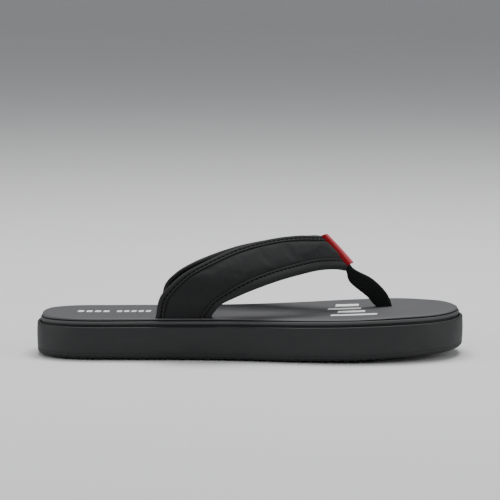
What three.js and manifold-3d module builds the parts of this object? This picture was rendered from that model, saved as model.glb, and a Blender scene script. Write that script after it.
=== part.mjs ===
// Padded flip flop for the right foot, in millimetres.
// +X runs from heel to toe, +Y to the inner (medial) side of the foot and +Z up. The origin lies on
// the ground under the middle of the sole's outline. Every layer of the sole is a stack of rings that
// follow one outline; every layer of the strap is a section swept between its rear and front edges.
import * as THREE from "three";
import { mergeVertices } from "three/addons/utils/BufferGeometryUtils.js";
import Module from "manifold-3d";

const wasm = await Module();
wasm.setup();

// ---- Driving sizes ----------------------------------------------------------------------------

const SOLE_LENGTH = 285;
const SOLE_WIDTH = 105;
const LIP_HEIGHT_HEEL = 21.6; // top of the midsole's rim above the ground
const LIP_HEIGHT_TOE = 24.7;
const FOOTBED_RISE_HEEL = 5.8; // footbed's edge above the midsole's rim
const FOOTBED_RISE_TOE = 4.6;
const FOOTBED_DISH = 1.3; // how far the middle of the footbed lies below its edge
const TOE_SPRING = 5.5; // lift of the sole's underside at the toe
const TOE_SPRING_START = 40; // where the lift begins, ahead of the middle

const LUG_HEIGHT = 1.7;
const LUG_WIDTH = 3;
const LUG_PITCH = 6;
const LUG_ROW = 124; // the lugs run this far ahead of and behind the middle
const OUTSOLE_TOP = 4.6;
const OUTSOLE_INSET = 1.2;

const LIP_WIDTH = 3;
const RECESS_DEPTH = 4; // the footbed sinks this far below the midsole's rim
const BAND_SHARE = 0.6; // the lower footbed layer takes this part of the footbed's rise
const TRAY_WALL = 4.2;
const TRAY_DEPTH = 4;
const COVER_INSET = 1.1; // the cover sheet's edge lies this far inside the lower layer's edge
const COVER_THICKNESS = 1;
const COVER_SKIRT = 1.6;

const STRAP_RISE = 50; // top of the strap above the footbed
const STRAP_THICKNESS = 4.9;
const STRAP_CROWN = 1.5;
const COVER_PLY = 1;
const LINING_PLY = 0.9;
const PAD_MARGIN = 0.8; // the pad's edge stays this far from the bindings
const REAR_BINDING = 5.5;
const FRONT_BINDING = 7;
const THREAD_WIDTH = 0.9;
const THREAD_HEIGHT = 0.5;
const THREAD_MARGIN = 1.8; // from the binding's inner edge to the middle of the stitching
const TAIL_DEPTH = 19; // how deep the strap's tail is glued into the sole
const TAIL_PLY = 2.2;
const TAIL_MARGIN = 3; // the tail is narrower than the strap by this much on each side

const LABEL_THICKNESS = 1.2;
const LABEL_LENGTH = 24;
const LABEL_START = 1.5;
const SEAM_REACH = 0.45; // stations that the label and the tape cover on each side of the seam
const SEAM_TAPE_THICKNESS = 0.9;
const SEAM_TAPE_LENGTH = 20;

const POST_TOP_WIDTH_Y = 8;
const POST_WIDTH_Y = 4.4;
const POST_FOOT = 10; // the post's lower end above the ground
const WASHER_RADIUS = 10;
const WASHER_THICKNESS = 2;

const PRINT_THICKNESS = 0.3;

const GAP = 0.3; // glue line or seating gap between neighbouring pieces
const SLOT_CLEARANCE = 0.35;

// Resolution of the swept and stacked surfaces.
const OUTLINE_STEPS = 32; // along each side of the sole
const CAP_COLUMNS = 6;
const RING_SPACING = 0.5; // in stations along a strap arm

// ---- Outline and heights of the sole -------------------------------------------------------------

// Outer side from heel to toe, then inner side back, in per cent of the sole's length and width.
const OUTER_SIDE = [
  [-50, 1], [-47.9, -18], [-41.4, -30.5], [-29.5, -34.3], [-15.8, -35.7], [-1.8, -39.5],
  [12.3, -46.7], [24.6, -50], [37.2, -43.3], [45.6, -25.7],
];
const INNER_SIDE = [
  [50, 5.7], [46.5, 30.5], [37.9, 46.2], [24.6, 50], [12.3, 43.8], [-1.8, 36.2],
  [-15.8, 34.3], [-29.5, 34.8], [-41.4, 31], [-47.9, 19.5],
];

const lengthwise = (percent) => (percent * SOLE_LENGTH) / 100;
const crosswise = (percent) => (percent * SOLE_WIDTH) / 100;
const mix = (a, b, t) => a + (b - a) * t;
const smooth = (from, to, x) => THREE.MathUtils.smoothstep(x, from, to);

function outlinePoints() {
  const corners = [...OUTER_SIDE, ...INNER_SIDE];
  const curve = new THREE.CatmullRomCurve3(
    corners.map(([x, y]) => new THREE.Vector3(lengthwise(x), crosswise(y), 0)),
    true,
    "centripetal",
  );
  const points = curve.getPoints(2 * OUTLINE_STEPS).slice(0, -1);
  const size = new THREE.Box3().setFromPoints(points);
  const middle = size.getCenter(new THREE.Vector3());
  return points.map((p) => p.sub(middle));
}

const OUTLINE = outlinePoints();

// The outline moved inwards by the same distance everywhere.
function insetOutline(distance) {
  return OUTLINE.map((p, i) => {
    const before = OUTLINE.at(i - 1);
    const after = OUTLINE[(i + 1) % OUTLINE.length];
    const along = after.clone().sub(before).normalize();
    return new THREE.Vector3(p.x - along.y * distance, p.y + along.x * distance, 0);
  });
}

function distanceToOutline(x, y) {
  const spot = new THREE.Vector3(x, y, 0);
  const nearest = new THREE.Vector3();
  const side = new THREE.Line3();
  let best = Infinity;
  OUTLINE.forEach((p, i) => {
    side.set(p, OUTLINE[(i + 1) % OUTLINE.length]);
    side.closestPointToPoint(spot, true, nearest);
    best = Math.min(best, nearest.distanceTo(spot));
  });
  return best;
}

const share = (x) => x / SOLE_LENGTH + 0.5;
const rawSpring = (x) => Math.max(0, x - TOE_SPRING_START) / (SOLE_LENGTH / 2 - TOE_SPRING_START);
const ground = (x) => TOE_SPRING * rawSpring(x) ** 1.6;
const lip = (x) => mix(LIP_HEIGHT_HEEL, LIP_HEIGHT_TOE, share(x));
const rise = (x) => mix(FOOTBED_RISE_HEEL, FOOTBED_RISE_TOE, share(x));
const band = (x) => lip(x) + BAND_SHARE * rise(x);
const edge = (x) => lip(x) + rise(x);
const footbed = (x, y) => edge(x) - FOOTBED_DISH * smooth(8, 30, distanceToOutline(x, y));

// ---- Mesh helpers --------------------------------------------------------------------------------

// Collects triangles and gives back one welded geometry.
class Soup {
  corners = [];

  triangle(a, b, c) {
    const flat = a.distanceTo(b) < 1e-4 || b.distanceTo(c) < 1e-4 || c.distanceTo(a) < 1e-4;
    if (!flat) this.corners.push(a, b, c);
  }

  // A wall between two rings, the second one further along the sweep.
  wall(ring, next) {
    ring.forEach((a, i) => {
      const j = (i + 1) % ring.length;
      this.triangle(a, ring[j], next[j]);
      this.triangle(a, next[j], next[i]);
    });
  }

  geometry() {
    const positions = new Float32Array(this.corners.flatMap((p) => [p.x, p.y, p.z]));
    const raw = new THREE.BufferGeometry();
    raw.setAttribute("position", new THREE.BufferAttribute(positions, 3));
    return mergeVertices(raw, 1e-4);
  }
}

function toSolid(geometry) {
  const bare = new THREE.BufferGeometry();
  const flat = geometry.index ? geometry.toNonIndexed() : geometry;
  bare.setAttribute("position", flat.getAttribute("position"));
  const welded = mergeVertices(bare, 1e-4);
  const mesh = new wasm.Mesh({
    numProp: 3,
    vertProperties: new Float32Array(welded.getAttribute("position").array),
    triVerts: new Uint32Array(welded.index.array),
  });
  return new wasm.Manifold(mesh);
}

function toGeometry(solid) {
  const mesh = solid.getMesh();
  const geometry = new THREE.BufferGeometry();
  geometry.setAttribute("position", new THREE.BufferAttribute(mesh.vertProperties, 3));
  geometry.setIndex(new THREE.BufferAttribute(mesh.triVerts, 1));
  return geometry;
}

function cut(geometry, ...cutters) {
  const solid = cutters.reduce((left, cutter) => left.subtract(toSolid(cutter)), toSolid(geometry));
  return toGeometry(solid);
}

const area = (a, b, c) => (b.x - a.x) * (c.y - a.y) - (c.x - a.x) * (b.y - a.y);

// A grid of columns from the outer side of a plan ring to its inner side, facing up or down.
function planCap(soup, ring, height, facing) {
  const half = ring.length / 2;
  const row = (i) => {
    const [a, b] = [ring[i], ring[(ring.length - i) % ring.length]];
    return Array.from({ length: CAP_COLUMNS + 1 }, (_, k) => {
      if (k === 0) return a;
      if (k === CAP_COLUMNS) return b;
      const p = a.clone().lerp(b, k / CAP_COLUMNS);
      return p.setZ(height(p.x, p.y));
    });
  };
  const turned = (a, b, c) => {
    if (area(a, b, c) * facing < 0) soup.triangle(a, c, b);
    else soup.triangle(a, b, c);
  };
  for (let i = 0; i < half; i++) {
    const [near, far] = [row(i), row(i + 1)];
    for (let k = 0; k < CAP_COLUMNS; k++) {
      turned(near[k], far[k], far[k + 1]);
      turned(near[k], far[k + 1], near[k + 1]);
    }
  }
}

// One layer of the sole: rings of [inset, height function], from its lower cap to its upper cap.
function layer(levels) {
  const soup = new Soup();
  const rings = levels.map(([inset, height]) =>
    insetOutline(inset).map((p) => p.setZ(height(p.x, p.y))),
  );
  rings.slice(1).forEach((ring, i) => soup.wall(rings[i], ring));
  planCap(soup, rings[0], levels[0][1], -1);
  planCap(soup, rings.at(-1), levels.at(-1)[1], 1);
  return soup.geometry();
}

const above = (surface, offset) => (x, y) => surface(x, y) + offset;

// Sweeps matching closed sections, given as points in space and as flat [v, h] pairs for the caps.
function sweep(rings, flatSection) {
  const soup = new Soup();
  const contour = flatSection.map(([v, h]) => new THREE.Vector2(v, h));
  const turn = Math.sign(THREE.ShapeUtils.area(contour));
  const faces = THREE.ShapeUtils.triangulateShape(contour, []).map(([a, b, c]) =>
    area(contour[a], contour[b], contour[c]) * turn < 0 ? [a, c, b] : [a, b, c],
  );
  rings.slice(1).forEach((ring, i) => soup.wall(rings[i], ring));
  faces.forEach(([a, b, c]) => {
    soup.triangle(rings[0][a], rings[0][c], rings[0][b]);
    soup.triangle(rings.at(-1)[a], rings.at(-1)[b], rings.at(-1)[c]);
  });
  const geometry = soup.geometry();
  return toSolid(geometry).volume() < 0 ? sweep([...rings].reverse(), flatSection) : geometry;
}

// ---- Strap arms ------------------------------------------------------------------------------------

// Rear and front edge of each arm from its slot to the seam over the toes, each point in per cent of
// the sole's length and width and of the strap's rise above the footbed.
const ARM_EDGES = {
  lateral: {
    rear: [
      [-22.3, -28.1, 0], [-21.4, -31, 26.9], [-19.5, -32.4, 39.6], [-15.4, -31.4, 58.5],
      [-10, -27.1, 74.1], [-4.2, -19, 86.5], [0.7, -11.9, 93.1], [6.3, -3.8, 97.7],
      [11.6, 2.8, 99.5], [15.2, 7.2, 98.5], [17, 11.4, 97.5],
    ],
    front: [
      [-9.5, -29.5, 0], [-8.1, -33.8, 12.6], [-6.5, -36.2, 19.2], [-3.9, -37.6, 26.9],
      [-0.7, -36.7, 34.9], [2.8, -34.3, 42.2], [6.7, -28.6, 48.4], [11.6, -19, 53.5],
      [16.5, -7.6, 56.1], [20.6, 2.8, 53.9], [23, 11.4, 48.6],
    ],
  },
  medial: {
    rear: [
      [-19.8, 26.7, 0], [-19.3, 29.5, 28.1], [-16.8, 31, 43.9], [-13.9, 30.5, 54.6],
      [-10, 29.5, 65.9], [-4.2, 27, 77.5], [0, 24.8, 83.9], [6.3, 21.4, 91],
      [11.6, 18.6, 95.2], [15.2, 15.8, 96.8], [17, 11.4, 97.5],
    ],
    front: [
      [-7, 27.6, 0], [-6, 31.9, 11.6], [-4.4, 34.3, 18.5], [-1.8, 36.2, 26.4],
      [1.4, 36.2, 33.3], [4.6, 34.8, 39.7], [8.1, 32, 45.6], [12.3, 28.6, 50.4],
      [16.5, 24.2, 53.1], [20.6, 18.2, 52.1], [23, 11.4, 48.6],
    ],
  },
};
const SEAM = ARM_EDGES.lateral.rear.length; // station number of the centre seam
const SEAM_Y = crosswise(ARM_EDGES.lateral.rear.at(-1)[1]);
const SURFACE_STATION = 1; // station number where an arm enters the footbed
const ARM_START = 0.85;

// One arm of the strap: gives points on it by station, width across and height from mid-thickness.
class Arm {
  constructor(name, side) {
    this.name = name;
    this.side = side; // -1 for the outer arm, 1 for the inner arm
    this.rear = this.edgeCurve(ARM_EDGES[name].rear);
    this.front = this.edgeCurve(ARM_EDGES[name].front);
  }

  edgeCurve(percents) {
    const points = percents.map(([x, y, z]) => {
      const [px, py] = [lengthwise(x), crosswise(y)];
      return new THREE.Vector3(px, py, edge(px) + (z * STRAP_RISE) / 100);
    });
    const tail = points[0].clone().setZ(points[0].z - TAIL_DEPTH);
    points.at(-1).y = SEAM_Y + (this.side * GAP) / 2;
    return new THREE.CatmullRomCurve3([tail, ...points], false, "centripetal");
  }

  at(curve, station) {
    return curve.getPoint(THREE.MathUtils.clamp(station / SEAM, 0, 1));
  }

  middle(station) {
    return this.at(this.rear, station).lerp(this.at(this.front, station), 0.5);
  }

  // Origin on the rear edge, direction across to the front edge, outward normal and width.
  frame(station) {
    const origin = this.at(this.rear, station);
    const across = this.at(this.front, station).sub(origin);
    const width = across.length();
    across.normalize();
    const ahead = this.middle(station + 0.1).sub(this.middle(station - 0.1)).normalize();
    const towardsSeam = new THREE.Vector3(0, -this.side, 0);
    ahead.lerp(towardsSeam, smooth(SEAM - 1.6, SEAM, station)).normalize();
    const normal = across.clone().cross(ahead).multiplyScalar(-this.side).normalize();
    return { origin, across, normal, width };
  }

  point(station, v, h) {
    const { origin, across, normal, width } = this.frame(station);
    const bulge = STRAP_CROWN * smooth(1, 3, station) * 4 * (v / width) * (1 - v / width);
    return origin.addScaledVector(across, v).addScaledVector(normal, h + bulge);
  }

  // section(width) gives the [v, h] points of the swept piece at a place where the arm is that wide.
  // Every piece has rings at the same stations between its ends, so that neighbours' facets match.
  piece(from, to, section) {
    const shared = Array.from({ length: SEAM / RING_SPACING }, (_, i) => i * RING_SPACING);
    const stations = [from, ...shared.filter((s) => s > from && s < to), to];
    const rings = stations.map((s) =>
      section(this.frame(s).width).map(([v, h]) => this.point(s, v, h)),
    );
    return sweep(rings, section(this.frame(from).width));
  }
}

const ARMS = [new Arm("lateral", -1), new Arm("medial", 1)];
const OUTER_FACE = STRAP_THICKNESS / 2;
const COVER_UNDERSIDE = OUTER_FACE - COVER_PLY;
const LINING_TOP = LINING_PLY - OUTER_FACE;

// A flat ply between two widths, measured in from each edge, and two heights.
function ply(fromRear, fromFront, low, high, columns = 4) {
  return (width) => {
    const v = Array.from({ length: columns + 1 }, (_, k) =>
      mix(fromRear, width - fromFront, k / columns),
    );
    return [...v.map((x) => [x, high]), ...v.reverse().map((x) => [x, low])];
  };
}

// A folded binding: square on its inner side and rounded over the strap's edge.
function binding(depth, place) {
  const shape = [
    [depth, OUTER_FACE], [2.2, OUTER_FACE], [0.6, 0.7 * OUTER_FACE], [0, 0],
    [0.6, -0.7 * OUTER_FACE], [2.2, -OUTER_FACE], [depth, -OUTER_FACE],
  ];
  return (width) => shape.map(([v, h]) => [place(v, width), h]);
}
const fromRear = (v) => v;
const fromFront = (v, width) => width - v;

function thread(middle, place) {
  const [low, high] = [OUTER_FACE + GAP, OUTER_FACE + GAP + THREAD_HEIGHT];
  const reach = THREAD_WIDTH / 2;
  const shape = [
    [middle - reach, low], [middle + reach, low], [middle + reach / 2, high], [middle - reach / 2, high],
  ];
  return (width) => shape.map(([v, h]) => [place(v, width), h]);
}

function armPieces(arm) {
  const inner = [REAR_BINDING + GAP, FRONT_BINDING + GAP];
  const padSides = [REAR_BINDING + PAD_MARGIN, FRONT_BINDING + PAD_MARGIN];
  const pad = ply(...padSides, LINING_TOP + GAP, COVER_UNDERSIDE - GAP);
  const tail = ply(TAIL_MARGIN + REAR_BINDING, TAIL_MARGIN + FRONT_BINDING, -TAIL_PLY / 2, TAIL_PLY / 2, 1);
  const padStart = SURFACE_STATION + RING_SPACING;
  const rearThread = thread(REAR_BINDING - THREAD_MARGIN, fromRear);
  const frontThread = thread(FRONT_BINDING - THREAD_MARGIN, fromFront);
  return {
    strap_cover: arm.piece(ARM_START, SEAM, ply(...inner, COVER_UNDERSIDE, OUTER_FACE)),
    strap_pad: arm.piece(padStart, SEAM, pad),
    strap_lining: arm.piece(ARM_START, SEAM, ply(...inner, -OUTER_FACE, LINING_TOP)),
    strap_rear_binding: arm.piece(ARM_START, SEAM, binding(REAR_BINDING, fromRear)),
    strap_front_binding: arm.piece(ARM_START, SEAM, binding(FRONT_BINDING, fromFront)),
    strap_tail: arm.piece(0, padStart - 0.05, tail),
    rear_stitching: arm.piece(padStart, SEAM - RING_SPACING, rearThread),
    front_stitching: arm.piece(padStart, SEAM - RING_SPACING, frontThread),
  };
}

// The space that an arm takes up inside the footbed, with room for glue around it.
function armSlot(arm) {
  const reach = SLOT_CLEARANCE;
  const section = ply(-reach, -reach, -OUTER_FACE - reach, OUTER_FACE + reach, 1);
  return arm.piece(ARM_START - 0.03, SURFACE_STATION + RING_SPACING, section);
}

function tailSlot(arm) {
  const [rear, front] = [TAIL_MARGIN + REAR_BINDING, TAIL_MARGIN + FRONT_BINDING];
  const reach = SLOT_CLEARANCE;
  const section = ply(rear - reach, front - reach, -TAIL_PLY / 2 - reach, TAIL_PLY / 2 + reach, 1);
  const ring = (station, drop) =>
    section(arm.frame(station).width).map(([v, h]) => {
      const p = arm.point(station, v, h);
      return p.setZ(p.z - drop);
    });
  const rings = [ring(0, GAP), ...[0, 0.2, 0.4, 0.6, 0.8, ARM_START + 0.05].map((s) => ring(s, 0))];
  return sweep(rings, section(arm.frame(0).width));
}

// A strip laid over both arms at the centre seam, following the swell of the strap.
function acrossSeam(reach, start, length, low, high) {
  const section = ply(start, 0, low, high)(start + length);
  const steps = [0, 0.25, 0.5, 0.75, 1];
  const outer = steps.map((t) => [ARMS[0], SEAM - reach * (1 - t)]);
  const inner = steps.map((t) => [ARMS[1], SEAM - reach * t]);
  const rings = [...outer, ...inner].map(([arm, s]) => section.map(([v, h]) => arm.point(s, v, h)));
  return sweep(rings, section);
}

// ---- Toe post --------------------------------------------------------------------------------------

// Rear and front edge of the flattened webbing, from the strap's nose down to the footbed: distance
// ahead of the nose, and height above the footbed in per cent of the strap's rise.
const POST_REAR = [[-1.6, 47.7], [-0.5, 38.6], [2.5, 30.8], [7.7, 22.6], [12.7, 14.4], [16.7, 6.4], [18.7, 0]];
const POST_FRONT = [[2.4, 53.3], [8, 47.8], [15.1, 40.4], [20.3, 30], [24.9, 20.8], [28.4, 10.2], [30.3, 0]];
const NOSE_X = lengthwise(ARM_EDGES.lateral.front.at(-1)[0]);
const POST_Y = SEAM_Y + 4;
const POST_STEPS = 14;

function postCurve(edgePoints) {
  const points = edgePoints.map(([ahead, height], i) => {
    const x = NOSE_X + ahead;
    const y = mix(SEAM_Y, POST_Y, smooth(0, edgePoints.length - 1, i));
    return new THREE.Vector3(x, y, edge(x) - FOOTBED_DISH + (height * STRAP_RISE) / 100);
  });
  const foot = points.at(-1).clone().setZ(POST_FOOT);
  return new THREE.CatmullRomCurve3([...points, foot], false, "centripetal");
}

function post(clearance, from) {
  const [rear, front] = [postCurve(POST_REAR), postCurve(POST_FRONT)];
  const corners = [[0, -0.55], [0.12, -1], [0.88, -1], [1, -0.55], [1, 0.55], [0.88, 1], [0.12, 1], [0, 0.55]];
  const rings = Array.from({ length: POST_STEPS + 1 }, (_, i) => {
    const t = mix(from, 1, i / POST_STEPS);
    const [a, b] = [rear.getPoint(t), front.getPoint(t)];
    const outward = b.clone().sub(a).normalize().multiplyScalar(clearance);
    a.sub(outward);
    b.add(outward);
    const half = mix(POST_TOP_WIDTH_Y, POST_WIDTH_Y, smooth(0, 0.3, t)) / 2 + clearance;
    const drop = i === POST_STEPS ? clearance : 0;
    return corners.map(([s, y]) => {
      const p = a.clone().lerp(b, s);
      return new THREE.Vector3(p.x, p.y + y * half, p.z - drop);
    });
  });
  return sweep(rings, corners);
}

const POST_CENTRE_X = NOSE_X + (POST_REAR.at(-1)[0] + POST_FRONT.at(-1)[0]) / 2;
const WASHER_TOP = POST_FOOT - GAP;

function disc(radius, low, high) {
  const geometry = new THREE.CylinderGeometry(radius, radius, high - low, 32);
  geometry.rotateX(Math.PI / 2);
  return geometry.translate(POST_CENTRE_X, POST_Y, (low + high) / 2);
}

// ---- Sole layers -----------------------------------------------------------------------------------

// Straight lugs across the sole that follow its toe spring.
function lugRow() {
  const sunk = LUG_HEIGHT + 1;
  const below = [];
  for (let x = -LUG_ROW; x <= LUG_ROW; x += LUG_PITCH) {
    const foot = ground(x + LUG_WIDTH / 2);
    below.push([x, foot + LUG_HEIGHT + 0.3], [x + 0.4, foot], [x + LUG_WIDTH - 0.4, foot]);
    below.push([x + LUG_WIDTH, foot + LUG_HEIGHT + 0.3]);
  }
  const top = below.filter((_, i) => i % 4 === 0 || i === below.length - 1);
  const upper = top.reverse().map(([x]) => [x, ground(x) + sunk]);
  const profile = new THREE.Shape([...below, ...upper].map(([x, z]) => new THREE.Vector2(x, z)));
  const bars = new THREE.ExtrudeGeometry(profile, { depth: SOLE_WIDTH * 1.2, bevelEnabled: false });
  bars.rotateX(Math.PI / 2).translate(0, SOLE_WIDTH * 0.6, 0);
  const plan = new THREE.Shape(insetOutline(4.6).map((p) => new THREE.Vector2(p.x, p.y)));
  const prism = new THREE.ExtrudeGeometry(plan, { depth: LIP_HEIGHT_HEEL, bevelEnabled: false });
  prism.translate(0, 0, -1);
  return toSolid(bars).intersect(toSolid(prism));
}

function outsole() {
  const plate = layer([
    [4.2, above(ground, LUG_HEIGHT)],
    [2.6, above(ground, LUG_HEIGHT + 0.6)],
    [1.6, above(ground, OUTSOLE_TOP - 1)],
    [OUTSOLE_INSET, above(ground, OUTSOLE_TOP)],
  ]);
  return toGeometry(toSolid(plate).add(lugRow()));
}

function midsole() {
  const start = OUTSOLE_TOP + GAP;
  const shell = layer([
    [OUTSOLE_INSET, above(ground, start)],
    [0.5, above(ground, start + 1.6)],
    [0, above(ground, start + 4.5)],
    [0, above(lip, -1.4)],
    [0.35, above(lip, -0.4)],
    [1.1, lip],
    [LIP_WIDTH - 0.4, lip],
    [LIP_WIDTH, above(lip, -0.5)],
    [LIP_WIDTH, above(lip, -RECESS_DEPTH)],
  ]);
  const washerSeat = disc(WASHER_RADIUS + SLOT_CLEARANCE, 0, WASHER_TOP + GAP / 2);
  return cut(shell, ...ARMS.map(tailSlot), ...ARMS.map(armSlot), post(SLOT_CLEARANCE, 0.5), washerSeat);
}

const TRAY_INSET = LIP_WIDTH + GAP;
const PAD_INSET = TRAY_INSET + TRAY_WALL + GAP;

function footbedBase() {
  const tray = layer([
    [TRAY_INSET, above(lip, GAP - RECESS_DEPTH)],
    [TRAY_INSET, above(band, -0.9)],
    [TRAY_INSET + 0.3, above(band, -0.25)],
    [TRAY_INSET + 1, band],
    [TRAY_INSET + TRAY_WALL, band],
    [TRAY_INSET + TRAY_WALL, above(band, -TRAY_DEPTH)],
  ]);
  return cut(tray, ...ARMS.map(armSlot), ...ARMS.map(tailSlot), post(SLOT_CLEARANCE, 0.5));
}

function footbedPad() {
  const foam = layer([
    [PAD_INSET, above(band, GAP - TRAY_DEPTH)],
    [PAD_INSET, above(footbed, -COVER_THICKNESS - GAP - 0.4)],
    [PAD_INSET + 1, above(footbed, -COVER_THICKNESS - GAP)],
  ]);
  return cut(foam, ...ARMS.map(armSlot), ...ARMS.map(tailSlot), post(SLOT_CLEARANCE, 0.5));
}

function footbedCover() {
  const inset = TRAY_INSET + COVER_INSET;
  const sheet = layer([
    [inset + COVER_SKIRT, above(footbed, -COVER_THICKNESS)],
    [inset + COVER_SKIRT, above(band, GAP)],
    [inset + 0.1, above(band, GAP)],
    [inset, above(band, GAP + 0.5)],
    [inset + 0.35, above(edge, -0.6)],
    [inset + 1.4, above(edge, -0.08)],
    [inset + 3.4, footbed],
  ]);
  return cut(sheet, ...ARMS.map(armSlot), post(SLOT_CLEARANCE, 0.5));
}

// ---- Printed marks on the footbed --------------------------------------------------------------------

// A film over a rectangle of the footbed that follows its surface.
function film(fromX, toX, fromY, toY) {
  const columns = Math.ceil((toX - fromX) / 8);
  const rings = Array.from({ length: columns + 1 }, (_, i) => {
    const x = mix(fromX, toX, i / columns);
    const rows = [0, 1 / 3, 2 / 3, 1].map((t) => mix(fromY, toY, t));
    const low = rows.map((y) => new THREE.Vector3(x, y, footbed(x, y) + GAP));
    const high = low.map((p) => p.clone().setZ(p.z + PRINT_THICKNESS)).reverse();
    return [...low, ...high];
  });
  return sweep(rings, rings[0].map((p) => [p.y, p.z]));
}

// A row of bars joined by one thin spine, so that the print is a single film.
function barRow(fromX, toX, fromY, toY, bars, barShare, spineHalf) {
  const pitch = (toX - fromX) / bars;
  const middle = (fromY + toY) / 2;
  const spine = toSolid(film(fromX, toX - pitch * (1 - barShare), middle - spineHalf, middle + spineHalf));
  const all = Array.from({ length: bars }, (_, i) => {
    const x = fromX + i * pitch;
    return toSolid(film(x, x + pitch * barShare, fromY, toY));
  });
  return toGeometry(all.reduce((joined, bar) => joined.add(bar), spine));
}

function prints() {
  const [heelFrom, heelTo] = [lengthwise(-40.7), lengthwise(-23.5)];
  const [toeFrom, toeTo] = [lengthwise(18.5), lengthwise(28)];
  return {
    heel_print: barRow(heelFrom, heelTo, crosswise(1), crosswise(14), 9, 0.6, 0.8),
    forefoot_print: barRow(toeFrom, toeTo, crosswise(-20), crosswise(24), 4, 0.55, 1.5),
  };
}

// ---- Assembly ------------------------------------------------------------------------------------------

const FINISH = {
  rubber: { color: "#2b2d2e", roughness: 0.85, metalness: 0 },
  midsole_foam: { color: "#2d2f30", roughness: 0.7, metalness: 0 },
  footbed_foam: { color: "#3a3b3c", roughness: 0.8, metalness: 0 },
  footbed_skin: { color: "#6c6c6e", roughness: 0.75, metalness: 0 },
  strap_fabric: { color: "#25272a", roughness: 0.9, metalness: 0 },
  lining_fabric: { color: "#1c1d1f", roughness: 0.95, metalness: 0 },
  foam: { color: "#303133", roughness: 0.95, metalness: 0 },
  thread: { color: "#17181a", roughness: 0.8, metalness: 0 },
  webbing: { color: "#101211", roughness: 0.9, metalness: 0 },
  plastic: { color: "#1a1a1a", roughness: 0.5, metalness: 0 },
  label: { color: "#b01324", roughness: 0.6, metalness: 0 },
  print: { color: "#d9d9d9", roughness: 0.5, metalness: 0 },
};

const ARM_FINISH = {
  strap_cover: "strap_fabric",
  strap_pad: "foam",
  strap_lining: "lining_fabric",
  strap_rear_binding: "strap_fabric",
  strap_front_binding: "strap_fabric",
  strap_tail: "webbing",
  rear_stitching: "thread",
  front_stitching: "thread",
};

const sandal = new THREE.Group();

function add(name, geometry, finish) {
  geometry.computeVertexNormals();
  const mesh = new THREE.Mesh(geometry, new THREE.MeshStandardMaterial(FINISH[finish]));
  mesh.name = name;
  sandal.add(mesh);
}

add("outsole", outsole(), "rubber");
add("midsole", midsole(), "midsole_foam");
add("footbed_base", footbedBase(), "footbed_foam");
add("footbed_pad", footbedPad(), "foam");
add("footbed_cover", footbedCover(), "footbed_skin");

for (const arm of ARMS) {
  const pieces = armPieces(arm);
  for (const [piece, geometry] of Object.entries(pieces)) {
    add(`${piece}_${arm.name}`, geometry, ARM_FINISH[piece]);
  }
}

const labelLow = OUTER_FACE + GAP;
const tapeHigh = -OUTER_FACE - GAP;
const label = acrossSeam(SEAM_REACH, LABEL_START, LABEL_LENGTH, labelLow, labelLow + LABEL_THICKNESS);
const tapeLow = tapeHigh - SEAM_TAPE_THICKNESS;
const tape = acrossSeam(SEAM_REACH, REAR_BINDING, SEAM_TAPE_LENGTH, tapeLow, tapeHigh);
add("centre_label", label, "label");
add("seam_tape", tape, "lining_fabric");

add("toe_post", post(0, 0), "webbing");
add("post_washer", disc(WASHER_RADIUS, WASHER_TOP - WASHER_THICKNESS, WASHER_TOP), "plastic");

for (const [name, geometry] of Object.entries(prints())) add(name, geometry, "print");

export default sandal;
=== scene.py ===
"""Padded flip flop for the right foot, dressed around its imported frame.

Lengths are in metres and every piece is made in the frame's own axes: +X runs from heel to toe,
+Y to the inner side of the foot and +Z up. Each sub-assembly is a class that holds its sizes,
builds its meshes and dresses them with one of the finishes.
"""

from __future__ import annotations

import logging
import math
from dataclasses import dataclass, field
from enum import Enum
from typing import Callable, Optional, Sequence, Union

import bmesh
import bpy
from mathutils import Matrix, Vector
from mathutils.kdtree import KDTree


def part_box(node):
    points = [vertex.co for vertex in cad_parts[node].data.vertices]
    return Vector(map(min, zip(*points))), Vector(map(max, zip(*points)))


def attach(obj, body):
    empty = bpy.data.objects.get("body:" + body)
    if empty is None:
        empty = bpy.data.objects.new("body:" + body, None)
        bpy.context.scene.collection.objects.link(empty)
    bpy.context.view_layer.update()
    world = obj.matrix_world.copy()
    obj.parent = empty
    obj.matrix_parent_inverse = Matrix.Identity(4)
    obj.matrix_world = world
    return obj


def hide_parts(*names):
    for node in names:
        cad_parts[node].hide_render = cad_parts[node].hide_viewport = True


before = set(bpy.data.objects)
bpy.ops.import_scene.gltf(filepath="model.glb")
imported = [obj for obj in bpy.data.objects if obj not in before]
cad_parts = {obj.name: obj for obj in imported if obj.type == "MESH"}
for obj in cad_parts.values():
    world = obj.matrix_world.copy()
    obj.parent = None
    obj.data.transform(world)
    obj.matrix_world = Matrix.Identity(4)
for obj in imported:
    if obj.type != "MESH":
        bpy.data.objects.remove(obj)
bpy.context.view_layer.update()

MM = 0.001
BODY = "root"
CREASE = math.radians(38)  # faces that meet at a sharper angle keep a hard edge
CLOTH_WRAP = 6 * MM  # a wider jump across one face is where a ring's cloth map starts over
Height = Callable[[float, float], float]
Profile = list[tuple[float, float]]
log = logging.getLogger("flip_flop")


# ---- Numbers and curves --------------------------------------------------------------------------


def mix(a: float, b: float, share: float) -> float:
    """The number that lies at a share of the way from a to b."""
    return a + (b - a) * share


def smooth(low: float, high: float, x: float) -> float:
    """0 below low, 1 above high and a smooth step between them."""
    t = min(1.0, max(0.0, (x - low) / (high - low)))
    return t * t * (3 - 2 * t)


def spaced(low: float, high: float, count: int) -> list[float]:
    """Evenly spaced numbers from low to high, both included."""
    return [mix(low, high, i / (count - 1)) for i in range(count)]


def running_length(points: Sequence[Vector]) -> list[float]:
    """The distance along a line of points, at each of them.

    Args:
        points: The line's points, in order.

    Returns:
        One distance for each point, 0 at the first.
    """
    reach = [0.0]
    for a, b in zip(points, points[1:]):
        reach.append(reach[-1] + (b - a).length)
    return reach


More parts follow.
